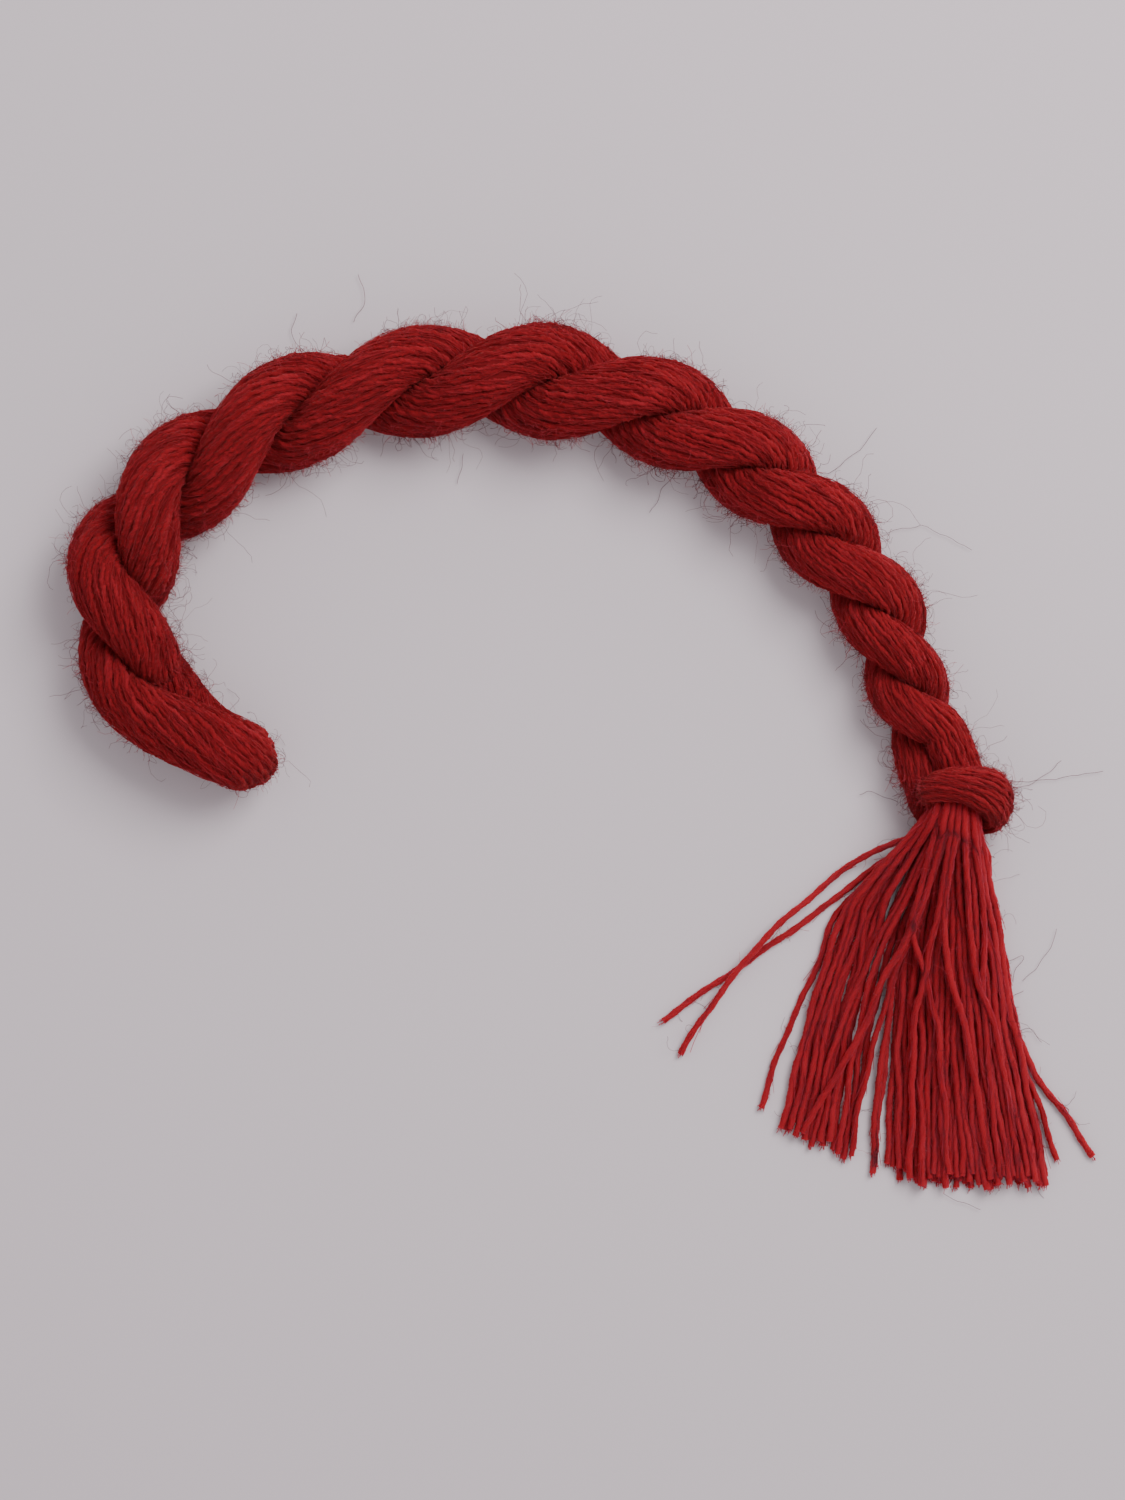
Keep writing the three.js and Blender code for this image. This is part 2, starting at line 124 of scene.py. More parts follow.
# Matt white board: it has no gloss, so that all it shows are the soft shadows.
table_paint = bpy.data.materials.new("matt_white_board")
table_paint.use_nodes = True
board = table_paint.node_tree.nodes["Principled BSDF"]
board.inputs["Base Color"].default_value = linear("#c8bcc2")
board.inputs["Roughness"].default_value = 0.9
table_mesh.materials.append(table_paint)
print(table_paint.name, TABLE_SIDE, "m square")

# %% Light
world = bpy.data.worlds.new("studio")
bpy.context.scene.world = world
world.use_nodes = True
sky = world.node_tree.nodes["Background"]
sky.inputs["Color"].default_value = linear("#f4f2f4")
sky.inputs["Strength"].default_value = 0.85


def add_lamp(name, place, aim, side, watts):
    """A square soft lamp at `place` that points at `aim`."""
    data = bpy.data.lights.new(name, "AREA")
    data.size = side
    data.energy = watts
    lamp = bpy.data.objects.new(name, data)
    lamp.location = place
    way = [a - p for a, p in zip(aim, place)]
    flat = math.hypot(way[0], way[1])
    lamp.rotation_euler = (math.atan2(flat, -way[2]), 0, math.atan2(way[1], way[0]) - math.pi / 2)
    bpy.context.scene.collection.objects.link(lamp)
    return lamp


lamp = add_lamp("soft_box", place=(0.19, 0.18, 0.34), aim=(0, 0, 0), side=0.24, watts=1.98)
print(lamp.name, "gives", round(lamp.data.energy, 2), "W")

# %% [markdown]
# ## The rope's line
#
# The rope has a line through its middle, and its two legs turn round that line. The table below holds the
# same rows as the part's source: where the line is at each half turn, and oftener near the fold, how far
# the rope reaches to each side of it, and half how wide a leg is. Everything between the rows is read off a
# smooth curve through them.

# %% Rows of the rope
ROPE_COLUMNS = ("x", "y", "turn", "reach", "wide")
ROPE_ROWS = np.array(  # millimetres, and half turns
    [
        (-33.2, 0.6, -0.5, 4.95, 3.3),
        (-35.3, 1.6, -0.48, 4.95, 3.3),
        (-37.6, 3.1, -0.4, 4.95, 3.2),
        (-40.0, 5.2, -0.24, 4.85, 3.1),
        (-42.3, 8.4, 0, 4.8, 3.0),
        (-42.9, 18.5, 1, 5.25, 3.05),
        (-36.7, 26.4, 2, 5.3, 3.05),
        (-26.6, 32.3, 3, 5.3, 3.05),
        (-14.7, 35.1, 4, 5.3, 3.05),
        (-2.9, 35.0, 5, 5.5, 3.1),
        (8.1, 31.9, 6, 5.0, 2.9),
        (16.5, 26.9, 7, 4.75, 2.75),
        (23.0, 20.6, 8, 4.6, 2.6),
        (28.0, 13.5, 9, 4.2, 2.4),
        (30.5, 6.7, 10, 3.85, 2.2),
        (33.1, 0.4, 11, 4.1, 2.2),
    ]
)
LEG_OFFSET_SHARE = 0.47  # how far a leg's middle is from the rope's line, as a share of the rope's reach
LEG_THICK_SHARE = 0.53  # a leg's half thickness, as a share of the same
FOOT_PRESS = 0.3  # how far the rope's weight presses it flat, in millimetres


def unit(vectors):
    """The vectors, each with a length of one."""
    return vectors / np.linalg.norm(vectors, axis=-1, keepdims=True)


def distances(points):
    """The distance along a row of points."""
    steps = np.linalg.norm(np.diff(points, axis=0), axis=1)
    return np.concatenate([[0.0], np.cumsum(steps)])


def through(knots, values, at):
    """A smooth curve through values (one row for each knot), read at the places `at`."""
    values = np.asarray(values, float)
    slopes = np.empty_like(values)
    spans = (knots[2:] - knots[:-2]).reshape(-1, *[1] * (values.ndim - 1))
    slopes[1:-1] = (values[2:] - values[:-2]) / spans
    slopes[0] = (values[1] - values[0]) / (knots[1] - knots[0])
    slopes[-1] = (values[-1] - values[-2]) / (knots[-1] - knots[-2])
    i = np.clip(np.searchsorted(knots, at, side="right") - 1, 0, len(knots) - 2)
    span = knots[i + 1] - knots[i]
    shape = (-1, *[1] * (values.ndim - 1))
    t = ((at - knots[i]) / span).reshape(shape)
    span = span.reshape(shape)
    rise = values[i + 1] - values[i]
    into = slopes[i] * span
    out_of = slopes[i + 1] * span
    return values[i] + into * t + (3 * rise - 2 * into - out_of) * t**2 + (into + out_of - 2 * rise) * t**3


print("rope's line", round(distances(ROPE_ROWS[:, :2])[-1]), "mm long")

# %% [markdown]
# ## The legs
#
# A leg's station is the middle of its section, the way out of the rope, and its half sizes. The two legs are
# half a turn apart. The line runs to the left as the legs turn down on their outer side, which is what makes
# this a left-laid rope.

# %% Stations of a leg in the rope
STATION_STEP = 1.75  # millimetres
LOOK_AHEAD = 0.01  # how far ahead the line's direction is read, in millimetres


def leg_stations(half_turn):
    """Stations of one leg, from the fold to the hitch: middle, out, thick, wide and the rope's turn."""
    knots = distances(ROPE_ROWS[:, :2])
    count = round(knots[-1] / STATION_STEP)
    at = knots[-1] * np.arange(count) / count
    rows = dict(zip(ROPE_COLUMNS, through(knots, ROPE_ROWS, at).T))
    place = np.stack([rows["x"], rows["y"]], axis=1)
    ahead = unit(through(knots, ROPE_ROWS[:, :2], at + LOOK_AHEAD) - place)
    angle = math.pi * (rows["turn"] + half_turn)
    out = np.stack([-ahead[:, 1] * np.cos(angle), ahead[:, 0] * np.cos(angle), -np.sin(angle)], axis=1)
    middle = np.stack([rows["x"], rows["y"], rows["reach"] - FOOT_PRESS], axis=1)
    middle += out * (rows["reach"] * LEG_OFFSET_SHARE)[:, None]
    turned = math.pi * (rows["turn"] - ROPE_ROWS[0, 2])
    sizes = np.stack([rows["reach"] * LEG_THICK_SHARE, rows["wide"], turned], axis=1)
    return np.hstack([middle, out, sizes])


leg_a = leg_stations(0)
leg_b = leg_stations(1)
print("stations in each leg:", len(leg_a))

# %% [markdown]
# ## The fold and the hitch
#
# The bundle turns back on itself at the fold, so leg A and leg B are one run of yarns. At the other end
# leg A dips behind leg B, comes up on its far side, crosses in front and tucks in, which is a half hitch.
# Joining all of it into one list of stations lets each yarn run through without a break, as in the wool.

# %% Rows of the hitch
HITCH_ROWS = np.array(  # x, y, z, thick, wide
    [
        (31.9, -2.5, 3.4, 1.9, 2.0),
        (32.8, -4.7, 2.2, 1.7, 2.0),
        (34.7, -5.4, 1.6, 1.6, 2.0),
        (37.2, -5.3, 2.1, 1.7, 2.2),
        (38.7, -4.4, 4.2, 1.7, 2.5),
        (37.9, -3.3, 6.5, 1.7, 2.3),
        (35.8, -2.7, 7.6, 1.6, 1.8),
        (33.5, -2.7, 7.0, 1.5, 1.5),
        (32.5, -3.4, 5.5, 1.4, 1.3),
        (33.5, -4.3, 4.5, 1.2, 1.3),
    ]
)
CORE_ROWS = np.array(  # the same for leg B, inside the hitch
    [
        (35.2, -1.8, 4.2, 2.4, 2.3),
        (35.0, -4.4, 4.3, 2.5, 2.5),
        (34.8, -5.6, 4.1, 2.3, 2.3),
    ]
)
HITCH_MIDDLE = np.array([35.1, -4.0, 4.3])
print("leg A goes", round(distances(HITCH_ROWS[:, :3])[-1]), "mm round the hitch")

# %% Stations of the whole bundle
FOLD_DEGREES = (90, 72, 46, 22)  # how far the way out has turned: 90 is the middle of the fold
FOLD_STRETCH = 1.07  # how much further out the fold goes than a half circle
FOLD_OFFSET_SHARE = 0.52  # shares of the rope's reach, as in the legs
FOLD_THICK_SHARE = 0.48
FOLD_END = np.array([*ROPE_ROWS[0, :2], ROPE_ROWS[0, 3] - FOOT_PRESS])
FOLD_AWAY = unit(np.append(ROPE_ROWS[0, :2] - ROPE_ROWS[1, :2], 0))  # the way out of the rope at its fold
BUNDLE_TWIST = 0.15  # radians that a yarn turns round its leg in each millimetre, to the right


def fold_stations(leg):
    """Stations of one leg from the middle of the fold to the rope."""
    end = ROPE_ROWS[0]
    up = leg[0, 3:6]
    rows = []
    for degrees in FOLD_DEGREES:
        turned = math.radians(degrees)
        out = up * math.cos(turned) + FOLD_AWAY * math.sin(turned)
        offset = end[3] * FOLD_OFFSET_SHARE
        middle = FOLD_END + offset * (up * math.cos(turned) + FOLD_AWAY * math.sin(turned) * FOLD_STRETCH)
        rows.append([*middle, *out, end[3] * FOLD_THICK_SHARE, end[4], 0.0])
    return np.array(rows)


def whole_leg(leg, rows, outs):
    """A leg from the middle of the fold to its end, with the yarns' twist in the last column."""
    ends = np.hstack([rows[:, :3], unit(outs), rows[:, 3:5], np.full((len(rows), 1), leg[-1, 8])])
    stations = np.vstack([fold_stations(leg), leg, ends])
    stations[:, 8] += BUNDLE_TWIST * distances(stations[:, :3])
    return stations


hitch_outs = (HITCH_ROWS[:, :3] - HITCH_MIDDLE) * (1, 0, 1)  # away from the hitch's middle, across leg B
core_outs = np.tile([1.0, 0, 0], (len(CORE_ROWS), 1))
# Leg A runs backwards, up to the fold, whose middle it leaves to leg B, and so its twist changes sign.
first_half = whole_leg(leg_a, HITCH_ROWS, hitch_outs)[:0:-1].copy()
first_half[:, 8] *= -1
bundle = np.vstack([first_half, whole_leg(leg_b, CORE_ROWS, core_outs)])
print("bundle of", len(bundle), "stations,", round(distances(bundle[:, :3])[-1]), "mm long")

# %% [markdown]
# ## Where each yarn lies
#
# Twenty-six yarns lie round the outside of a leg. Each keeps its place in the ring of yarns while the ring
# slowly turns, against the turn of the rope, so that on top of the rope the yarns run nearly along it.
# Real yarns are not so tidy: slow wandering, sideways and in depth, and a short crimp break up the pattern.

# %% Rings along the bundle
YARNS_ROUND = 26
LINE_STEP = 0.42  # millimetres between two rings of a yarn
RING_DEPTH = 0.35  # millimetres from a leg's surface to the middles of its yarns
YARN_FILL = 0.74  # a yarn's half width as a share of its room round the leg, so that neighbours touch
YARN_HALF_LIMITS = (0.27, 0.44)  # millimetres

knots = distances(bundle[:, :3])
line_at = np.arange(0, knots[-1], LINE_STEP)
dense = through(knots, bundle, line_at)
ahead = unit(np.gradient(dense[:, :3], axis=0))
out = unit(dense[:, 3:6] - ahead * np.sum(dense[:, 3:6] * ahead, axis=1)[:, None])
side = np.cross(ahead, out)
thick, wide, twist = dense[:, 6], dense[:, 7], dense[:, 8]
way_round = 2 * math.pi * np.sqrt(((thick - RING_DEPTH) ** 2 + (wide - RING_DEPTH) ** 2) / 2)
yarn_half = np.clip(way_round / YARNS_ROUND * YARN_FILL, *YARN_HALF_LIMITS)
print(len(line_at), "rings; yarns", round(2 * yarn_half.mean(), 2), "mm wide")

# %% The rounded end of the fold
FOLD_ROUND = 1.8  # how far the fold's sides are drawn back, so that its end is round from above
FOLD_NEAR = 2  # how far from the fold's middle that goes on, in reaches of the rope
FOLD_EASED = 7.0  # how near the fold's middle the tight bends are evened out, in millimetres
EASE_PASSES = 3


def rounded_fold(points):
    """The points, with those beyond the fold's middle drawn back the more, the further out they are."""
    from_fold = points - FOLD_END
    beyond = np.maximum(from_fold @ FOLD_AWAY, 0) / ROPE_ROWS[0, 3]
    near = np.linalg.norm(from_fold[..., :2], axis=-1) < FOLD_NEAR * ROPE_ROWS[0, 3]
    sideways = from_fold @ np.cross(FOLD_AWAY, (0, 0, 1)) / ROPE_ROWS[0, 4]
    return points - FOLD_AWAY * (FOLD_ROUND * beyond * sideways**2 * near)[..., None]


def eased(points):
    """The points, with the tight bends near the fold evened out."""
    calm = points.copy()
    for _ in range(EASE_PASSES):
        calm[1:-1] = (calm[:-2] + 2 * calm[1:-1] + calm[2:]) / 4
    near = np.linalg.norm(points - FOLD_END, axis=1) < FOLD_EASED
    return np.where(near[:, None], calm, points)


# %% Yarn lines on the bundle
WANDER_ANGLE = 0.1  # radians
ANGLE_WAVES = (5.0, 9.0, 16.0, 31.0)  # lengths in millimetres, as for the other waves
CRIMP_ANGLE = 0.028
CRIMP_WAVES = (2.4, 3.1, 4.2)  # short ones, from the plies' twist
WANDER_DEPTH = 0.11  # millimetres
DEPTH_WAVES = (4.0, 7.0, 13.0, 23.0)
WAVE_HEIGHT = (0.5, 1.0)
PRESSED = 0.95  # a yarn on the table is pressed to this share of its half width
rng = np.random.default_rng(17)


def wander(at, waves):
    """A random wave along `at`, about one unit high, made of waves of the given lengths."""
    total = np.zeros_like(at)
    for wave in waves:
        total += np.sin(2 * math.pi * (at / wave + rng.random())) * rng.uniform(*WAVE_HEIGHT)
    return total / math.sqrt(len(waves))


def yarn_line(place):
    """The middle line of the yarn whose share of the way round the leg is `place`."""
    angle = 2 * math.pi * place + twist
    angle = angle + WANDER_ANGLE * wander(line_at, ANGLE_WAVES)
    angle = angle + CRIMP_ANGLE * wander(line_at, CRIMP_WAVES)
    depth = WANDER_DEPTH * wander(line_at, DEPTH_WAVES) - yarn_half
    radial = (thick + depth) * np.cos(angle)
    sideways = (wide + depth) * np.sin(angle)
    points = eased(rounded_fold(dense[:, :3] + out * radial[:, None] + side * sideways[:, None]))
    points[:, 2] = np.maximum(points[:, 2], yarn_half * PRESSED)
    return points


yarn_lines = [yarn_line(j / YARNS_ROUND) for j in range(YARNS_ROUND)]
print(YARNS_ROUND, "yarns of", round(distances(yarn_lines[0])[-1]), "mm")

# %% [markdown]
# ## A plied yarn from a line
#
# Crewel wool is two plies twisted together, so its section is two lobes, not a circle, and the section turns
# as it goes. Geometry Nodes does this for any number of lines at once: the profile curve is a circle pinched
# at its waist, and Set Curve Tilt turns it along the yarn. The tree also keeps two attributes, where a point
# is along the yarn and where it is round it, so that the fibres in the material can follow the yarn.

# %% A path that turns as it goes
def turning_path(tree, lines, twist):
    """The lines as curves that turn, with `along` kept as the distance from the start, in metres."""
    line = add_node(tree, "GeometryNodeMeshToCurve", Mesh=lines).outputs["Curve"]
    along = add_node(tree, "GeometryNodeSplineParameter").outputs["Length"]
    start = add_node(tree, "GeometryNodeInputNamedAttribute", {"data_type": "FLOAT"}, Name="start_turn")
    turned = add_node(tree, "ShaderNodeMath", {"operation": "MULTIPLY"}, i0=along, i1=twist)
    tilt = add_node(
        tree, "ShaderNodeMath", {"operation": "ADD"}, i0=turned.outputs[0], i1=start.outputs["Attribute"]
    )
    tilted = add_node(tree, "GeometryNodeSetCurveTilt", Curve=line, Tilt=tilt.outputs[0])
    marked = add_node(
        tree,
        "GeometryNodeStoreNamedAttribute",
        {"data_type": "FLOAT", "domain": "POINT"},
        Geometry=tilted.outputs["Curve"],
        Name="along",
        Value=along,
    )
    return marked.outputs["Geometry"]


# %% A profile with two lobes
def pinched_profile(tree, sides, waist):
    """A circle of radius 1, pinched at its waist, with `round` kept as the place on the circle."""
    circle = add_node(tree, "GeometryNodeCurvePrimitiveCircle", Resolution=sides, Radius=1.0)
    place = add_node(tree, "GeometryNodeInputPosition").outputs["Position"]
    marked = add_node(
        tree,
        "GeometryNodeStoreNamedAttribute",
        {"data_type": "FLOAT_VECTOR", "domain": "POINT"},
        Geometry=circle.outputs["Curve"],
        Name="round",
        Value=place,
    )
    parts = add_node(tree, "ShaderNodeSeparateXYZ", Vector=place).outputs
    squared = add_node(tree, "ShaderNodeMath", {"operation": "POWER"}, i0=parts["Y"], i1=2.0).outputs[0]
    pinch = add_node(tree, "ShaderNodeMath", {"operation": "MULTIPLY_ADD"}, i0=squared, i1=waist, i2=1.0)
    lobed = add_node(tree, "ShaderNodeVectorMath", {"operation": "SCALE"}, i0=place, Scale=pinch.outputs[0])
    pinched = add_node(
        tree, "GeometryNodeSetPosition", Geometry=marked.outputs["Geometry"], Position=lobed.outputs[0]
    )
    return pinched.outputs["Geometry"]


# %% The plied-yarn tree
YARN_INPUTS = {
    "Geometry": "NodeSocketGeometry",
    "Twist": "NodeSocketFloat",
    "Waist": "NodeSocketFloat",
    "Sides": "NodeSocketInt",
    "Finish": "NodeSocketMaterial",
}


def plied_yarn_tree():
    """A tree that sweeps the pinched profile along every line it is given."""
    tree = bpy.data.node_groups.new("plied_yarn", "GeometryNodeTree")
    for label, kind in YARN_INPUTS.items():
        tree.interface.new_socket(label, in_out="INPUT", socket_type=kind)
    tree.interface.new_socket("Geometry", in_out="OUTPUT", socket_type="NodeSocketGeometry")
    given = add_node(tree, "NodeGroupInput").outputs
    half_width = add_node(tree, "GeometryNodeInputNamedAttribute", {"data_type": "FLOAT"}, Name="half_width")
    skin = add_node(
        tree,
        "GeometryNodeCurveToMesh",
        Curve=turning_path(tree, given["Geometry"], given["Twist"]),
        Profile_Curve=pinched_profile(tree, given["Sides"], given["Waist"]),
        Scale=half_width.outputs["Attribute"],
        Fill_Caps=True,
    )
    smooth = add_node(tree, "GeometryNodeSetShadeSmooth", Geometry=skin.outputs["Mesh"]).outputs["Geometry"]
    real = add_node(tree, "GeometryNodeRealizeInstances", Geometry=smooth).outputs["Geometry"]
    done = add_node(tree, "GeometryNodeSetMaterial", Geometry=real, Material=given["Finish"])
    add_node(tree, "NodeGroupOutput", Geometry=done.outputs["Geometry"])
    return tree


PLIED_YARN = plied_yarn_tree()
print("tree", PLIED_YARN.name, "with", len(PLIED_YARN.nodes), "nodes")

# %% [markdown]
# ## From lines to a mesh
#
# The lines go into a mesh that has only points and edges, with an attribute for each thing that differs from
# yarn to yarn. The tree is put on as a modifier, its inputs are set by the sockets' identifiers, and the
# evaluated result is copied out as a plain mesh, so nothing live is left on the piece.

# %% Wire mesh
START_TURNS = 7  # how many turns the yarns' starts are spread over, so that no two neighbours match


def wire_mesh(name, lines, halves, tints):
    """A mesh of edges along the lines, in metres, with the yarns' sizes and shades as attributes."""
    counts = [len(line) for line in lines]
    starts = np.concatenate([[0], np.cumsum(counts)[:-1]])
    edges = [(s + i, s + i + 1) for s, c in zip(starts, counts) for i in range(c - 1)]
    mesh = bpy.data.meshes.new(name)
    mesh.from_pydata((np.vstack(lines) * MM).tolist(), edges, [])
    columns = {
        "half_width": np.concatenate([np.broadcast_to(h, c) for h, c in zip(halves, counts)]) * MM,
        "tint": np.repeat(tints, counts),
        "start_turn": np.repeat(tints * 2 * math.pi * START_TURNS, counts),
    }
    for label, values in columns.items():
        mesh.attributes.new(label, "FLOAT", "POINT").data.foreach_set("value", values.astype(np.float32))
    return mesh


# %% Growing a piece on its wires
def grown(name, wire, settings, finish):
    """Runs the yarn tree on a wire mesh and returns the result as a plain object."""
    source = bpy.data.objects.new(name + "_wire", wire)
    bpy.context.scene.collection.objects.link(source)
    modifier = source.modifiers.new("grow", "NODES")
    modifier.node_group = PLIED_YARN
    sockets = {s.name: s.identifier for s in PLIED_YARN.interface.items_tree if s.in_out == "INPUT"}
    for label, value in {**settings, "Finish": finish}.items():
        modifier[sockets[label]] = value
    source.update_tag()
    evaluated = source.evaluated_get(bpy.context.evaluated_depsgraph_get())
    mesh = bpy.data.meshes.new_from_object(evaluated)
    mesh.name = name
    bpy.data.objects.remove(source)
    bpy.data.meshes.remove(wire)
    piece = bpy.data.objects.new(name, mesh)
    bpy.context.scene.collection.objects.link(piece)
    triangles = sum(len(p.vertices) - 2 for p in mesh.polygons)
    print(name, "has", triangles, "triangles in", finish.name)
    return piece


# %% [markdown]
# ## Dyed wool
#
# Wool is a bundle of fine scaly fibres. They scatter light, so it has no gloss, only a faint pale sheen at
# grazing angles. The dye takes a little differently from fibre to fibre and from yarn to yarn. The fibres in
# a ply lie nearly along the yarn, so the streaks are a noise that is stretched along it and that turns back
# as the plies turn. Some of the light goes in between the fibres and comes out a little further on, redder,
# which fills the hollows between the yarns: that is what Subsurface does here.

# %% Streaks of fibre
PLY_PITCH = 3.4  # millimetres for one full turn of the two plies
PLY_TWIST = 2 * math.pi / (PLY_PITCH * MM)
FIBRE_ROUND = 4.5  # streaks round the yarn: real fibres are 0.03 mm, drawn about three times as coarse
FIBRE_ALONG = 900.0  # noise cells for each metre along the yarn
TINT_SHIFT = 91.0  # moves the streaks along from yarn to yarn, so that no two are alike


def fibre_streaks(tree, tint):
    """A noise that is stretched along the yarn and turns with its plies."""
    around = add_node(tree, "ShaderNodeAttribute", {"attribute_name": "round"}).outputs["Vector"]
    along = add_node(tree, "ShaderNodeAttribute", {"attribute_name": "along"}).outputs["Fac"]
    back = add_node(tree, "ShaderNodeMath", {"operation": "MULTIPLY"}, i0=along, i1=-PLY_TWIST).outputs[0]
    turned = add_node(tree, "ShaderNodeVectorRotate", {"rotation_type": "Z_AXIS"}, Vector=around, Angle=back)
    across = add_node(
        tree, "ShaderNodeVectorMath", {"operation": "SCALE"}, i0=turned.outputs[0], Scale=FIBRE_ROUND
    ).outputs[0]
    down = add_node(tree, "ShaderNodeMath", {"operation": "MULTIPLY"}, i0=along, i1=FIBRE_ALONG).outputs[0]
    shifted = add_node(
        tree, "ShaderNodeMath", {"operation": "MULTIPLY_ADD"}, i0=tint, i1=TINT_SHIFT, i2=down
    ).outputs[0]
    down_yarn = add_node(tree, "ShaderNodeCombineXYZ", Z=shifted).outputs[0]
    place = add_node(tree, "ShaderNodeVectorMath", {"operation": "ADD"}, i0=across, i1=down_yarn).outputs[0]
    noise = add_node(tree, "ShaderNodeTexNoise", Vector=place, Scale=1.0, Detail=3.0, Roughness=0.6)
    return noise.outputs["Fac"]


# %% Uneven dye
TINT_SHARE = 0.2  # how far up the ramp of colours one yarn may lie above another
DYE_SHARE = 0.3  # the same for one place and another
DYE_CELLS = 260.0  # noise cells for each metre: the dye varies over about four millimetres
RAMP_PLACES = (0.5, 0.75, 1.0)  # of the deep, the middle and the light colour


def dye_colour(tree, streaks, tint, colours):
    """The colour of the wool, from deep to light, by fibre, by yarn and by place."""
    place = add_node(tree, "ShaderNodeTexCoord").outputs["Object"]
    dye = add_node(tree, "ShaderNodeTexNoise", Vector=place, Scale=DYE_CELLS, Detail=2.0).outputs["Fac"]
    by_yarn = add_node(
        tree, "ShaderNodeMath", {"operation": "MULTIPLY_ADD"}, i0=tint, i1=TINT_SHARE, i2=streaks
    ).outputs[0]
    shade = add_node(
        tree, "ShaderNodeMath", {"operation": "MULTIPLY_ADD"}, i0=dye, i1=DYE_SHARE, i2=by_yarn
    ).outputs[0]
    ramp = add_node(tree, "ShaderNodeValToRGB", Fac=shade)
    stops = ramp.color_ramp.elements
    stops[0].position = RAMP_PLACES[0]
    stops[0].color = linear(colours[0])
    stops[1].position = RAMP_PLACES[2]
    stops[1].color = linear(colours[2])
    stops.new(RAMP_PLACES[1]).color = linear(colours[1])
    return ramp.outputs["Color"]


# %% Wool material
# How much of the light spreads among the fibres, how far it reaches, and how strong the fibres' relief is.
PACKED = {"through": 0.45, "reach": 0.7 * MM, "relief": 0.55}
APART = {"through": 0.9, "reach": 1.5 * MM, "relief": 0.2}
SINGLE = {"through": 0.0, "reach": 0.1 * MM, "relief": 0.0}  # one fibre on its own
RELIEF_DEPTH = 0.12 * MM  # about four real fibres


def wool_material(name, colours, spread, sheen):
    """Dyed wool: rough, with streaks of fibre in its colour and its relief."""
    wool = bpy.data.materials.new(name)
    wool.use_nodes = True
    tree = wool.node_tree
    shader = tree.nodes["Principled BSDF"]
    tint = add_node(tree, "ShaderNodeAttribute", {"attribute_name": "tint"}).outputs["Fac"]
    streaks = fibre_streaks(tree, tint)
    raised = add_node(
        tree, "ShaderNodeBump", Height=streaks, Strength=spread["relief"], Distance=RELIEF_DEPTH
    )
    tree.links.new(dye_colour(tree, streaks, tint, colours), shader.inputs["Base Color"])
    tree.links.new(raised.outputs["Normal"], shader.inputs["Normal"])
    constants = {
        "Roughness": 0.88,
        "Specular IOR Level": 0.18,
        "Subsurface Weight": spread["through"],
        "Subsurface Radius": (1.0, 0.25, 0.22),  # red light goes furthest
        "Subsurface Scale": spread["reach"],
        "Sheen Weight": sheen,
        "Sheen Roughness": 0.45,
        "Sheen Tint": linear("#ff9a90"),
    }
    for socket, value in constants.items():
        shader.inputs[socket].default_value = value
    return wool


# %% The five finishes of the wool
# Spun, plied and dyed wool, packed side by side: soft red with darker streaks and a faint sheen.
plied_wool = wool_material("dyed_two_ply_wool", ("#68060e", "#7c0b13", "#8d1b24"), PACKED, 0.1)

# The same wool seen down between the yarns, with painted shade: its colours are a shade deeper than the
# outer yarns', though the dye is the same, and it has no sheen.
inner_wool_painted_darker = wool_material(
    "dyed_wool_inside_the_bundle_painted_darker", ("#62050b", "#6e0910", "#7c0f18"), PACKED, 0.0
)

# The same wool where the cut ends lie apart, painted lighter: its colours stand for the light that passes
# through the loose ends, so they look lighter and smoother, though the dye is the same.
parted_wool_painted_lighter = wool_material(
    "dyed_two_ply_wool_lying_apart_painted_lighter", ("#820e18", "#8a131d", "#911c26"), APART, 0.05
)

# Single short fibres, painted pale: the lighter colour stands for the light that goes through one fibre, so
# they show as a pale haze against the wool.
haze_wool_painted_lighter = wool_material(
    "short_wool_fibre_painted_lighter", ("#86161f", "#9c2c36", "#b0424c"), SINGLE, 0.0
)

# Longer and stiffer hairs, which look like fine dark pen strokes against the table.
hair_wool = wool_material("long_wool_hair", ("#430a10", "#5a141a", "#74262c"), SINGLE, 0.0)
print([wool.name for wool in (plied_wool, inner_wool_painted_darker, parted_wool_painted_lighter, haze_wool_painted_lighter, hair_wool)])

# %% [markdown]
# ## The yarns of the rope
#
# The lines are shared out over two pieces, so that neither is too heavy to open. Each yarn still runs in one
# piece from end to end, so no seam shows.

# %% Rope yarns
YARN_SIDES = 8
ROPE_YARN = {"Twist": PLY_TWIST, "Waist": -0.36, "Sides": YARN_SIDES}  # pinched by about a third

rope_pieces = []
for part, label in enumerate(("odd", "even")):
    picked = yarn_lines[part::2]
    wire = wire_mesh("rope_yarns_" + label, picked, [yarn_half] * len(picked), rng.random(len(picked)))
    rope_pieces.append(grown("rope_yarns_" + label, wire, ROPE_YARN, plied_wool))

# %% [markdown]
# ## The inside of the bundle
#
# Between the outer yarns the eye sees other yarns, in shade. A plain tube just under the outer layer stands
# for them, and its wool is painted a shade darker than the outer yarns for that shade. It is built ring by
# ring, because its rings are already known.

# %% Inner bundle
INNER_SIDES = 20
INNER_DEPTH = 0.84  # how far under the surface it lies, in half widths of a yarn
INNER_STRIDE = 3  # uses every third ring of the dense line
INNER_LOWEST = 0.1  # millimetres above the table


def ring_skin(rings):
    """Quads between the rings and a face over each end, as points and faces."""
    sides = rings.shape[1]
    faces = []
    for r in range(len(rings) - 1):
        for i in range(sides):
            j = (i + 1) % sides
            faces.append((r * sides + i, r * sides + j, (r + 1) * sides + j, (r + 1) * sides + i))
    last = (len(rings) - 1) * sides
    faces.append(tuple(range(sides))[::-1])
    faces.append(tuple(last + i for i in range(sides)))
    return rings.reshape(-1, 3), faces


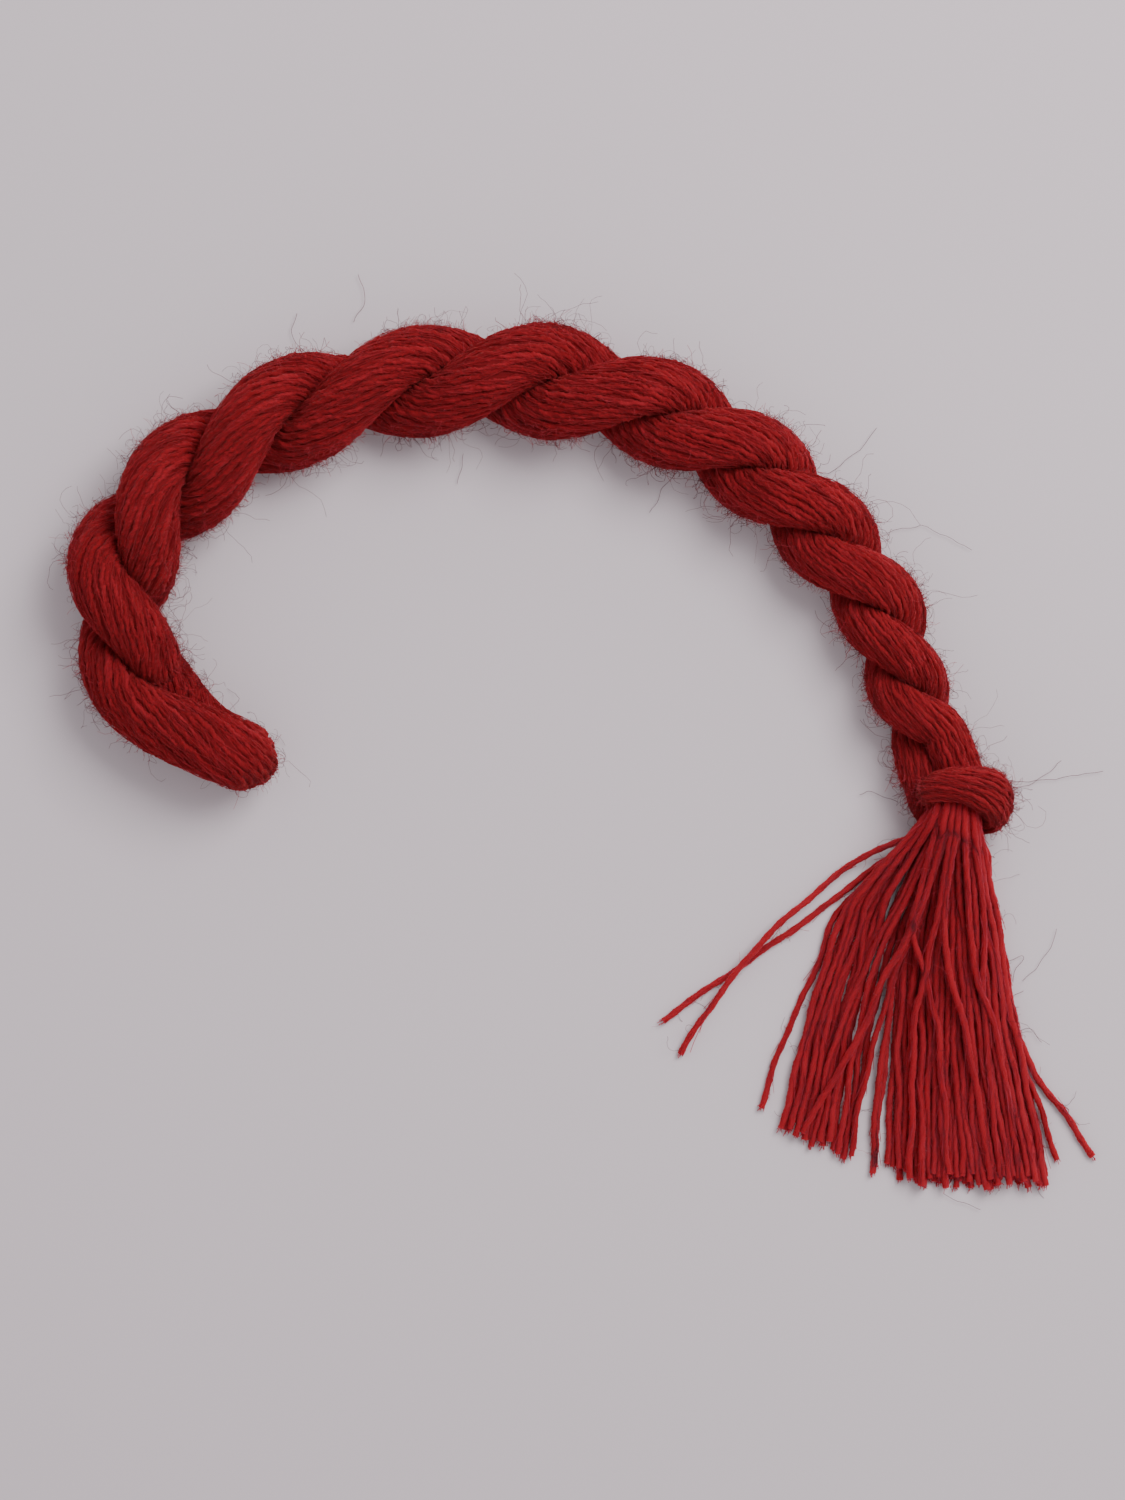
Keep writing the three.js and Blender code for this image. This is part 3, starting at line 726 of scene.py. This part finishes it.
def inner_bundle():
    """The smooth tube that shows between the outer yarns."""
    pick = slice(None, None, INNER_STRIDE)
    around = 2 * math.pi * np.arange(INNER_SIDES) / INNER_SIDES
    deep = (thick - yarn_half * INNER_DEPTH)[pick, None]
    broad = (wide - yarn_half * INNER_DEPTH)[pick, None]
    rings = dense[pick, None, :3] + out[pick, None] * (deep * np.cos(around))[..., None]
    rings = rounded_fold(rings + side[pick, None] * (broad * np.sin(around))[..., None])
    rings[..., 2] = np.maximum(rings[..., 2], INNER_LOWEST)
    points, faces = ring_skin(rings * MM)
    mesh = bpy.data.meshes.new("inner_bundle")
    mesh.from_pydata(points.tolist(), [], faces)
    mesh.polygons.foreach_set("use_smooth", [True] * len(mesh.polygons))
    mesh.materials.append(inner_wool_painted_darker)
    piece = bpy.data.objects.new("inner_bundle", mesh)
    bpy.context.scene.collection.objects.link(piece)
    return piece


inner_piece = inner_bundle()
print("inner bundle has", len(inner_piece.data.polygons), "faces")

# %% [markdown]
# ## How the cut ends lie
#
# Below the hitch the yarns spring apart, fall to the table within a centimetre and lie on it and on each
# other. Their lines are worked out the way they fall: at each step down the tassel every yarn heads for its
# place in the fan, sinks, and is pushed off its neighbours. A few yarns have sprung right out of the fan.

# %% Tables for the fan
ROOT_MIDDLE = np.array([34.6, -6.5, 3.9])
ROOT_ACROSS = unit(np.array([0.96, -0.28, 0.0]))
ROOT_HALF_WIDTH = 2.95
ROOT_HALF_HEIGHT = 3.3
GRIP_MIDDLE = np.array([35.0, -3.6, 4.4])  # where the yarns are gripped, inside the hitch
GRIP_SHARE = 0.72  # how much closer together they are there
FAN_SHARES = np.array([0, 0.25, 0.5, 0.75, 1])  # of the tassel's length, one for each column below
FAN_ACROSS = np.array([0, 0.13, 0.27, 0.31, 0.62, 1])  # of its width, one for each row below
FAN_X = np.array(
    [
        (32.0, 25.6, 23.7, 21.5, 19.1),
        (32.7, 28.0, 26.1, 24.1, 22.4),
        (33.4, 31.1, 29.7, 28.0, 26.5),
        (33.6, 31.7, 30.8, 30.0, 29.6),
        (35.1, 35.4, 35.7, 36.1, 36.8),
        (37.4, 38.1, 39.1, 40.8, 43.4),
    ]
)
FAN_Y = np.array(
    [
        (-6.5, -13.5, -18.8, -25.1, -35.0),
        (-6.5, -13.5, -19.1, -26.5, -36.4),
        (-6.5, -13.5, -19.5, -28.4, -38.3),
        (-6.5, -13.5, -20.9, -30.3, -39.6),
        (-6.5, -13.5, -21.9, -31.2, -40.2),
        (-6.8, -13.9, -20.5, -29.4, -40.1),
    ]
)
GROUPS = np.array(  # share of the yarns to the left of a place, and where that place is in the fan
    [
        (0.0, 0.0),
        (0.08, 0.07),
        (0.085, 0.105),
        (0.155, 0.165),
        (0.16, 0.205),
        (0.185, 0.235),
        (0.19, 0.28),
        (0.205, 0.3),
        (0.21, 0.32),
        (0.58, 0.63),
        (0.585, 0.66),
        (1.0, 1.0),
    ]
)
print("the fan is", round(FAN_X[-1, -1] - FAN_X[0, -1], 1), "mm wide at the cut ends")

# %% Tables for the yarns outside the fan and across it
# Each yarn has a row of x, one of y and one of its rise above the table, at each quarter of its length.
STRAYS = {  # yarns that have sprung out of the fan
    "upper_left": (
        (32.1, 26.1, 20.6, 14.6, 9.4),
        (-7.0, -9.8, -14.2, -20.1, -28.2),
        (3.8, 0.8, 0.9, 0.9, 0),
    ),
    "lower_left": (
        (32.1, 26.8, 21.3, 14.7, 7.7),
        (-7.4, -11.2, -15.5, -20.0, -25.1),
        (2.9, 0.1, 0, 0, 0),
    ),
    "left": (
        (32.3, 25.0, 22.7, 19.9, 16.8),
        (-7.8, -13.8, -18.4, -25.0, -33.3),
        (2.0, 0, 0, 0, 0),
    ),
    "right": (
        (36.9, 38.9, 40.0, 42.3, 48.3),
        (-8.3, -13.9, -21.4, -28.8, -37.9),
        (2.6, 0, 0, 0, 0),
    ),
    "inner_right": (
        (36.7, 38.8, 40.1, 42.0, 44.9),
        (-8.3, -13.7, -20.8, -29.8, -38.2),
        (4, 0.9, 0.8, 0.5, 0),
    ),
}
CROSSERS = {  # yarns that lie over the others
    "to_left": (
        (34.0, 31.6, 28.7, 25.5, 20.6),
        (-6.6, -14.5, -20.5, -27.5, -35.6),
        (6.0, 3.2, 2.2, 1.6, 0.5),
    ),
    "to_middle": (
        (33.0, 31.2, 32.3, 33.6, 34.6),
        (-6.8, -15.5, -21.0, -27.5, -39.4),
        (5.6, 2.9, 2.3, 1.9, 1.0),
    ),
    "to_right": (
        (35.6, 36.2, 37.2, 39.4, 41.2),
        (-6.9, -14.0, -20.5, -28.5, -39.8),
        (6.0, 3.1, 2.4, 1.9, 1.0),
    ),
    "inner_left": (
        (33.3, 30.2, 27.6, 25.6, 24.2),
        (-6.7, -14.0, -20.0, -28.0, -37.6),
        (5.2, 2.2, 1.2, 0.8, 0.3),
    ),
    "inner_middle": (
        (34.4, 33.4, 31.8, 31.2, 30.9),
        (-6.6, -14.8, -21.5, -29.0, -39.8),
        (6.1, 3.3, 2.3, 1.8, 1.1),
    ),
    "far_left": (
        (33.1, 29.9, 26.8, 24.0, 21.6),
        (-6.6, -13.6, -19.6, -27.0, -36.9),
        (5.0, 1.9, 1.1, 0.8, 0.2),
    ),
    "over_left": (
        (34.2, 31.9, 29.5, 27.2, 25.2),
        (-6.6, -14.0, -20.5, -28.5, -37.8),
        (6.1, 3.0, 1.6, 0.9, 0.3),
    ),
    "mid_left": (
        (33.7, 31.3, 29.6, 28.2, 27.5),
        (-6.6, -14.2, -20.8, -28.8, -38.9),
        (5.8, 2.6, 1.3, 0.6, 0),
    ),
    "straight": (
        (34.9, 34.0, 34.7, 36.7, 38.6),
        (-6.7, -14.2, -21.0, -29.0, -39.9),
        (6.2, 3.4, 2.6, 2.0, 1.2),
    ),
    "outer_right": (
        (36.3, 37.6, 37.8, 38.3, 39.3),
        (-7.0, -14.0, -21.2, -29.5, -39.7),
        (5.4, 2.6, 2.1, 1.8, 1.1),
    ),
}
print(len(STRAYS), "yarns outside the fan and", len(CROSSERS), "across it")

# %% Where the yarns leave the hitch
ROOT_SPACING = 0.66  # millimetres
ROW_STEP_SHARE = 0.87  # rows that lie in each other's hollows are this share of the spacing apart
MOST_ACROSS = 6  # more spacings than the root's half width holds


def root_places():
    """A close packing of places that fits the root's oval, from left to right."""
    row_step = ROOT_SPACING * ROW_STEP_SHARE
    rows = int(ROOT_HALF_HEIGHT / row_step)
    places = []
    for row in range(-rows, rows + 1):
        reach = ROOT_HALF_WIDTH * math.sqrt(1 - (row * row_step / ROOT_HALF_HEIGHT) ** 2)
        for a in range(-MOST_ACROSS, MOST_ACROSS + 1):
            across = (a + (row % 2) / 2) * ROOT_SPACING
            if abs(across) <= reach:
                places.append((across, row * row_step))
    return np.array(sorted(places))


print(len(root_places()), "yarns leave the hitch")

# %% Where the yarns head for
END_HALF = 0.35  # half the width of a cut end, in millimetres


def fan_point(across, share):
    """The fan's x and y at shares across it and at one share along it."""
    x_row = through(FAN_SHARES, FAN_X.T, np.array([share]))[0]
    y_row = through(FAN_SHARES, FAN_Y.T, np.array([share]))[0]
    return np.stack([np.interp(across, FAN_ACROSS, x_row), np.interp(across, FAN_ACROSS, y_row)], axis=1)


def stray_point(row, share):
    """The place of a yarn outside the fan or across it, at one share along it."""
    x, y, rise = (through(FAN_SHARES, np.array(column), np.array([share]))[0] for column in row)
    return np.array([x, y, END_HALF + max(rise, 0.0)])


# %% Letting the yarns fall
END_SPACING = 0.58  # millimetres between two yarns that touch
FALL_STEPS = 24  # from the hitch to the cut ends
FALL_PASSES = 90  # at each step, the first half of them with a pull towards the yarns' aims
PULL_ACROSS = 0.04  # how much of the way to its aim a yarn goes in one pass
PULL_DOWN = 0.05
PUSH_SHARE = 0.6  # how much of an overlap is taken up in one pass
DROP_SHARE = 0.34  # how far along its length a yarn comes down to the table
LEAVE_SHARE = 0.26  # how far along its length a yarn reaches its place in the fan
LOOK_BACK = 0.01  # how far back along the fan its direction is read


def push_apart(x, z, slant, fixed_x, fixed_z):
    """Moves sections that are closer than the spacing away from each other, and off the fixed ones."""
    for other_x, other_z, share in ((x, z, 0.5), (fixed_x, fixed_z, 1.0)):
        dx = (x[:, None] - other_x[None]) * slant[:, None]
        dz = z[:, None] - other_z[None]
        apart = np.hypot(dx, dz)
        close = (apart < END_SPACING) & (apart > 0)
        amount = np.where(close, (END_SPACING - apart) / np.where(apart > 0, apart, 1) * share, 0)
        x = x + np.sum(dx * amount, axis=1) * PUSH_SHARE
        z = z + np.sum(dz * amount, axis=1) * PUSH_SHARE
    return x, np.maximum(z, END_HALF)


def settled(x, z, aim_x, aim_z, slant, share):
    """The sections of all the yarns at one step, pulled to their aims and pushed off each other."""
    fixed = np.array([stray_point(row, share) for row in STRAYS.values()])
    for turn in range(FALL_PASSES):
        if turn < FALL_PASSES / 2:
            x = x + (aim_x - x) * PULL_ACROSS
            z = z + (aim_z - z) * PULL_DOWN
        x, z = push_apart(x, z, slant, fixed[:, 0], fixed[:, 2])
    return x, z


def fallen_lines():
    """The lines of the fan's yarns, from the grip to the cut ends."""
    places = root_places()
    starts = ROOT_MIDDLE + places[:, :1] * ROOT_ACROSS + places[:, 1:] * [0, 0, 1]
    across = np.interp((np.arange(len(starts)) + 0.5) / len(starts), GROUPS[:, 0], GROUPS[:, 1])
    x, z, aim_x = starts[:, 0], starts[:, 2], starts[:, 0]
    rings = [GRIP_MIDDLE + (starts - ROOT_MIDDLE) * GRIP_SHARE, starts]
    for step in range(1, FALL_STEPS + 1):
        share = step / FALL_STEPS
        fan = fan_point(across, share)
        nearby = fan_point(across, share - LOOK_BACK) - fan
        slant = np.abs(nearby[:, 1]) / np.linalg.norm(nearby, axis=1)
        leave = 1 - (1 - min(share / LEAVE_SHARE, 1)) ** 2
        goal = starts[:, :2] + (fan - starts[:, :2]) * leave
        aim_z = END_HALF + (starts[:, 2] - END_HALF) * max(1 - share / DROP_SHARE, 0)
        x = x + goal[:, 0] - aim_x
        aim_x = goal[:, 0]
        x, z = settled(x, z, aim_x, aim_z, slant, share)
        rings.append(np.stack([x, goal[:, 1], z], axis=1))
    return np.stack(rings, axis=1)


fallen = fallen_lines()
print(len(fallen), "yarns in the fan, highest at the cut ends:", round(fallen[:, -1, 2].max(), 2), "mm")

# %% Smooth lines for the tassel
END_STEP = 0.36  # millimetres between two rings of a cut end
END_WAVE = 0.19  # millimetres, as for the other waves
END_WAVES = (7.0, 12.0, 21.0)
END_CRIMP = 0.02
END_CRIMP_WAVES = (2.4, 3.3)
END_RISE = 0.095  # upwards they wave half as much
END_RISE_WAVES = (9.0, 15.0)
LOOSE_FROM = 5  # how far from its grip a yarn starts to wave, in millimetres
LOOSE_OVER = 12  # how much further on it waves fully
CUT_SPREAD = 0.8  # how unevenly the ends are cut, in millimetres
STEPS_KEPT = [0, 1, 4, 7, 10, 14, 18, 22, 25]  # the steps of the fall that a smooth line goes through
STRAY_POINTS = 11
STRAY_GRIP_SHARE = 0.9  # the yarns outside the fan and across it are gripped a little nearer the middle


def finished_line(points, reach):
    """A dense line through the points, a little wavy, with its end drawn in or out by `reach`."""
    points = points.copy()
    points[-1] += unit(points[-1] - points[-3]) * reach
    knots_here = distances(points)
    at = np.append(np.arange(0, knots_here[-1], END_STEP), knots_here[-1])
    line = through(knots_here, points, at)
    loose = np.clip((at - LOOSE_FROM) / LOOSE_OVER, 0, 1)
    line[:, 0] += loose * END_WAVE * wander(at, END_WAVES)
    line[:, 0] += loose * END_CRIMP * wander(at, END_CRIMP_WAVES)
    line[:, 2] += loose * END_RISE * np.abs(wander(at, END_RISE_WAVES))
    line[:, 2] = np.maximum(line[:, 2], END_HALF * PRESSED)
    return line


def loose_line(row):
    """The line of a yarn that lies apart from the fan, from the grip to its end."""
    rest = np.array([stray_point(row, share) for share in np.linspace(0, 1, STRAY_POINTS)])
    return np.vstack([GRIP_MIDDLE + (rest[0] - ROOT_MIDDLE) * GRIP_SHARE * STRAY_GRIP_SHARE, rest])


tassel_lines = [finished_line(line[STEPS_KEPT], rng.uniform(-1, 1) * CUT_SPREAD) for line in fallen]
tassel_lines += [finished_line(loose_line(row), 0.0) for row in (*STRAYS.values(), *CROSSERS.values())]
tassel_tints = rng.random(len(tassel_lines))
print(len(tassel_lines), "cut ends")

# %% Tassel yarns
TASSEL_YARN = {"Twist": PLY_TWIST, "Waist": -0.17, "Sides": YARN_SIDES}
FAN_HALF = 0.37  # the fan's yarns press against each other, so their sections run together
HALF_SPREAD = (0.93, 1.07)  # yarns differ a little in width

halves = np.where(np.arange(len(tassel_lines)) < len(fallen), FAN_HALF, END_HALF)
halves = halves * rng.uniform(*HALF_SPREAD, len(halves))
wire = wire_mesh("tassel_yarns", tassel_lines, halves, tassel_tints)
# The cut ends take the wool that is painted lighter, for the light that passes through them.
tassel_piece = grown("tassel_yarns", wire, TASSEL_YARN, parted_wool_painted_lighter)

# %% [markdown]
# ## Loose fibres
#
# Wool is never smooth at its edge: the ends of short fibres stand off every yarn, and against a pale table
# they read as a red haze, with longer fibres curling out of it. Each fibre starts on a yarn, leaves it
# roughly outwards and wanders. There are thousands, so each has only three sides and a few steps.

# %% How a fibre curls
FIBRE = {"Twist": 0.0, "Waist": 0.0, "Sides": 3}
FIBRE_HALF = (0.012, 0.02)  # a real fibre is about 0.015 mm to each side of its middle
# The lengths follow a lognormal rule, whose middle and spread are the two numbers of "length".
HAZE = {"rope": 5600, "tassel": 2200, "points": 4, "length": (-0.5, 0.45), "curl": 0.25}
CURLS = {"rope": 2200, "tassel": 500, "points": 9, "length": (0.75, 0.45), "curl": 0.3}
LENGTH_LIMITS = (0.3, 7.0)  # millimetres
FIBRE_LOWEST = 0.03  # millimetres above the table


def fibre_lines(starts, ways, kind):
    """One curling line for each start, in steps of equal length."""
    count = len(starts)
    lengths = np.clip(rng.lognormal(*kind["length"], count), *LENGTH_LIMITS)
    steps = (lengths / (kind["points"] - 1))[:, None]
    bend = rng.normal(0, kind["curl"], (count, 3))
    way = unit(ways)
    points = [starts]
    for _ in range(kind["points"] - 1):
        way = unit(way + np.cross(bend, way) + rng.normal(0, kind["curl"], (count, 3)))
        points.append(points[-1] + way * steps)
    lines = np.stack(points, axis=1)
    lines[..., 2] = np.maximum(lines[..., 2], FIBRE_LOWEST)
    return list(lines)


def fibre_piece(name, lines, half, finish):
    """A piece of fibres whose half widths are spread between two sizes."""
    wire = wire_mesh(name, lines, rng.uniform(*half, len(lines)), rng.random(len(lines)))
    return grown(name, wire, FIBRE, finish)


# %% Fibres off the rope
LEG_OUT = LEG_OFFSET_SHARE / LEG_THICK_SHARE  # from a leg's middle to the rope's line, in leg depths
TRIES = 14  # for each fibre wanted, since most places aren't at an edge
EDGE_FROM = 0.68  # from this share of the rope's reach outwards, fibres grow likelier
EDGE_SLOPE = 4
ELSEWHERE = 0.02  # how likely one is in other places
FIBRE_ROOT = 0.7  # how far from its yarn's middle a fibre starts, in half widths
LEAN_ALONG = (0.1, 0.9)  # how much a fibre points along its yarn, either way
LEAN_OUT = (0.2, 1.1)  # and how much out of the leg


def rope_fibres(kind):
    """Fibres that stand off the rope, most of them at its two edges, where they show."""
    tries = TRIES * kind["rope"]
    yarns = rng.integers(0, YARNS_ROUND, tries)
    places = rng.integers(2, len(line_at) - 2, tries)
    lines = np.stack(yarn_lines)
    starts = lines[yarns, places]
    rope_middle = dense[places, :3] - out[places] * (thick[places] * LEG_OUT)[:, None]
    off_line = np.linalg.norm((starts - rope_middle)[:, :2], axis=1) / thick[places] * LEG_THICK_SHARE
    likely = np.clip((off_line - EDGE_FROM) * EDGE_SLOPE, ELSEWHERE, 1)
    picked = np.flatnonzero(rng.random(tries) < likely)[: kind["rope"]]
    starts, yarns, places = starts[picked], yarns[picked], places[picked]
    outward = unit(starts - dense[places, :3])
    tangent = unit(lines[yarns, places + 1] - lines[yarns, places - 1])
    along = rng.choice([-1, 1], (len(picked), 1)) * rng.uniform(*LEAN_ALONG, (len(picked), 1))
    starts = starts + outward * yarn_half[places, None] * FIBRE_ROOT
    ways = outward * rng.uniform(*LEAN_OUT, (len(picked), 1)) + tangent * along
    return fibre_lines(starts, ways, kind)


# %% Fibres off the tassel
FIRST_PLACE = 12  # the steps of a cut end that lie inside the hitch
SIDEWAYS = (1, 0.4, 0.6)  # fibres lean more to the sides of a lying yarn than up or along
UPWARDS = (0, 0, 0.2)
END_ROOT = 0.6
END_LEAN_ALONG = (0.3, 1.2)


def tassel_fibres(kind):
    """Fibres that stand off the cut ends."""
    starts, ways = [], []
    for index in rng.integers(0, len(tassel_lines), kind["tassel"]):
        line = tassel_lines[index]
        place = rng.integers(FIRST_PLACE, len(line) - 1)
        tangent = unit(line[place] - line[place - 1])
        sideways = unit(rng.normal(0, 1, 3) * SIDEWAYS + UPWARDS)
        starts.append(line[place] + sideways * END_HALF * END_ROOT)
        ways.append(sideways + tangent * rng.choice([-1, 1]) * rng.uniform(*END_LEAN_ALONG))
    return fibre_lines(np.array(starts), np.array(ways), kind)


haze_lines = rope_fibres(HAZE) + tassel_fibres(HAZE)
curl_lines = rope_fibres(CURLS) + tassel_fibres(CURLS)
print(len(haze_lines), "short fibres and", len(curl_lines), "curling ones")
fibre_pieces = [
    fibre_piece("short_fibres", haze_lines, FIBRE_HALF, haze_wool_painted_lighter),
    fibre_piece("curling_fibres", curl_lines, FIBRE_HALF, hair_wool),
]

# %% [markdown]
# ## Fibres that lie on the wool
#
# Handling and steaming press most loose fibres down, nearly along the yarns. They bridge the grooves and
# make the yarns of the legs run together, which is why a handled hank looks softer than new string. Each one
# is a short line on the leg's surface that drifts a little sideways. On the tassel the same fibres lean over
# from one cut end to the next.

# %% Fibres that lie on the legs
LYING_HALF = (0.022, 0.04)  # drawn about twice as coarse as real ones, so that they show
LYING_COUNT = 6400
LYING_TRIES = 2  # for each fibre wanted, since those under a leg are left out
LYING_ENDS = (1, 4)  # millimetres left free at the two ends of the bundle
LYING_POINTS = 4
LYING_LENGTH = (1.4, 3.6)  # millimetres
LYING_DRIFT = 0.08  # radians sideways in each millimetre
LYING_RISE = (-0.2, 0.03)  # millimetres above the leg's surface
LYING_LOWEST = -0.8  # none start further than this below a leg's middle, where they wouldn't show
LYING_FLOOR = 0.05  # millimetres above the table


def read_at(places, values):
    """Columns of the dense bundle, read at places in millimetres along it."""
    return np.stack([np.interp(places, line_at, column) for column in values.T], axis=-1)


def lying_fibres():
    """Fibres that lie on the legs, nearly along the yarns."""
    tries = LYING_TRIES * LYING_COUNT
    start = rng.uniform(LYING_ENDS[0], line_at[-1] - LYING_ENDS[1], (tries, 1))
    at = start + rng.uniform(*LYING_LENGTH, (tries, 1)) * np.linspace(0, 1, LYING_POINTS)
    # The columns are the leg's middle, its way out, thick, wide, twist and the way to its side.
    rows = read_at(at, np.hstack([dense, side]))
    angle = rng.uniform(0, 2 * math.pi, (tries, 1)) + rows[..., 8]
    angle = angle + rng.normal(0, LYING_DRIFT, (tries, 1)) * (at - start)
    rise = rng.uniform(*LYING_RISE, (tries, 1))
    radial = ((rows[..., 6] + rise) * np.cos(angle))[..., None] * rows[..., 3:6]
    sideways = ((rows[..., 7] + rise) * np.sin(angle))[..., None] * rows[..., 9:12]
    lines = rounded_fold(rows[..., :3] + radial + sideways)
    lines[..., 2] = np.maximum(lines[..., 2], LYING_FLOOR)
    upward = (radial + sideways)[:, 0, 2]
    return list(lines[np.flatnonzero(upward > LYING_LOWEST)[:LYING_COUNT]])


fibre_pieces.append(fibre_piece("lying_fibres", lying_fibres(), LYING_HALF, plied_wool))

# %% Fibres that lean from one cut end to the next
LEANING_COUNT = 2900
LEANING_ENDS = (2, 8)  # rings left free at the two ends of a yarn
LEANING_LENGTH = (1.2, 3.2)  # millimetres
LEANING_OFF = 0.18  # how far from the yarn's middle one starts, in millimetres
LEANING_DRIFT = 0.3
LEANING_RISE = (0.5, 1.0)  # above the yarn's middle, in half widths


def leaning_fibres():
    """Fibres that lie on the tassel and lean over from one yarn to the next."""
    shares = np.linspace(0, 1, LYING_POINTS)
    lines = []
    for index in rng.integers(0, len(tassel_lines), LEANING_COUNT):
        line = tassel_lines[index]
        start = rng.uniform(LEANING_ENDS[0], len(line) - LEANING_ENDS[1])
        at = start + rng.uniform(*LEANING_LENGTH) / END_STEP * shares
        points = np.stack([np.interp(at, np.arange(len(line)), column) for column in line.T], axis=1)
        sideways = unit(np.cross(unit(points[-1] - points[0]), (0, 0, 1)))
        lean = rng.normal(0, LEANING_OFF) + rng.normal(0, LEANING_DRIFT) * shares
        rise = np.array([0, 0, END_HALF * rng.uniform(*LEANING_RISE)])
        lines.append(points + sideways * lean[:, None] + rise)
    return lines


fibre_pieces.append(fibre_piece("bridging_fibres", leaning_fibres(), LYING_HALF, parted_wool_painted_lighter))

# %% [markdown]
# ## Long hairs and frayed cuts
#
# A few long hairs have worked right out of the wool and lie on the table in lazy curves. And where the yarns
# were cut, each ends in a little brush of fibres, because the plies come undone there.

# %% Long hairs
LONG_HAIRS = (  # points on the table, in millimetres: x and y by turns
    (18.5, 28.6, 23.2, 26.7, 27.8, 30.9),
    (28.5, 21.1, 32.5, 21.6, 37.0, 19.4),
    (37.6, -1.8, 43.0, -2.4, 49.3, -1.3),
    (-11.4, 28.6, -11.5, 27.4, -11.6, 25.8),
    (41.8, -21.4, 44.0, -18.6, 44.8, -16.3),
    (39.2, -20.2, 41.7, -18.8, 40.6, -21.5),
    (38.4, -1.9, 41.5, -3.0, 45.4, -0.6),
    (26.0, -3.7, 27.9, -3.6, 29.9, -4.4),
    (34.4, -41.5, 36.0, -42.2, 37.6, -43.0),
    (41.5, -22.1, 40.4, -23.4, 41.2, -25.9),
    (43.4, -27.0, 42.6, -25.9, 40.9, -26.5),
    (-21.0, 45.6, -20.6, 43.5, -21.6, 41.2),
    (6.6, 22.9, 7.4, 25.3, 9.1, 26.6),
    (-27.0, 41.9, -27.5, 39.7, -26.3, 38.5),
    (-45.9, 6.3, -47.6, 7.1, -46.3, 9.5),
)
HAIR_HALF = (0.022, 0.026)
HAIR_HEIGHT = 0.35  # millimetres above the table
HAIR_POINTS = 16
HAIR_WAVE = 0.2
HAIR_WAVES = (2.3, 4.1, 7.0)


def long_hair(row):
    """A lazy curve through three points on the table."""
    points = np.array(row).reshape(-1, 2)
    points = np.hstack([points, np.full((len(points), 1), HAIR_HEIGHT)])
    knots_here = distances(points)
    at = np.linspace(0, knots_here[-1], HAIR_POINTS)
    line = through(knots_here, points, at)
    for axis in (0, 1):
        line[:, axis] += HAIR_WAVE * wander(at, HAIR_WAVES)
    return line


hair_lines = [long_hair(row) for row in LONG_HAIRS]
print(len(hair_lines), "long hairs")

# %% Frayed cuts
BRUSH_FIBRES = 7
BRUSH_HALF = (0.03, 0.05)
BRUSH_LENGTH = (0.25, 0.6)  # millimetres
BRUSH_BACK = 0.2  # each fibre starts this far inside the cut
BRUSH_ACROSS = 0.13
BRUSH_SPLAY = 0.22
BRUSH_FLATNESS = (1, 1, 0.5)  # a brush splays less upwards
BRUSH_BEND = 0.12
BRUSH_SHARES = (0, 0.35, 0.7, 1)
BRUSH_LOWEST = 0.05  # millimetres above the table


def brush_fibre(tip, way):
    """One fibre that splays from a cut end."""
    start = tip + rng.normal(0, BRUSH_ACROSS, 3) - way * BRUSH_BACK
    spread = unit(way + rng.normal(0, BRUSH_SPLAY, 3) * BRUSH_FLATNESS)
    length = rng.uniform(*BRUSH_LENGTH)
    bend = rng.normal(0, BRUSH_BEND, 3)
    line = np.array([start + (spread + bend * share) * length * share for share in BRUSH_SHARES])
    line[:, 2] = np.maximum(line[:, 2], BRUSH_LOWEST)
    return line


brush_lines = []
for end in tassel_lines:
    way = unit(end[-1] - end[-3])
    brush_lines += [brush_fibre(end[-1], way) for _ in range(BRUSH_FIBRES)]
print(len(brush_lines), "fibres in the brushes")
fibre_pieces.append(fibre_piece("frayed_cuts", brush_lines, BRUSH_HALF, parted_wool_painted_lighter))
fibre_pieces.append(fibre_piece("long_hairs", hair_lines, HAIR_HALF, hair_wool))

# %% [markdown]
# ## Attaching the pieces
#
# Every piece moves with the only body, and the yarns and the inner bundle stand for the solids that they
# cover, which are hidden.

# %% Ride and replace
for piece in (*rope_pieces, inner_piece, tassel_piece, *fibre_pieces):
    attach(piece, "root")
for piece in (*rope_pieces, inner_piece):
    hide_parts("twisted_hank")
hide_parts("tassel")
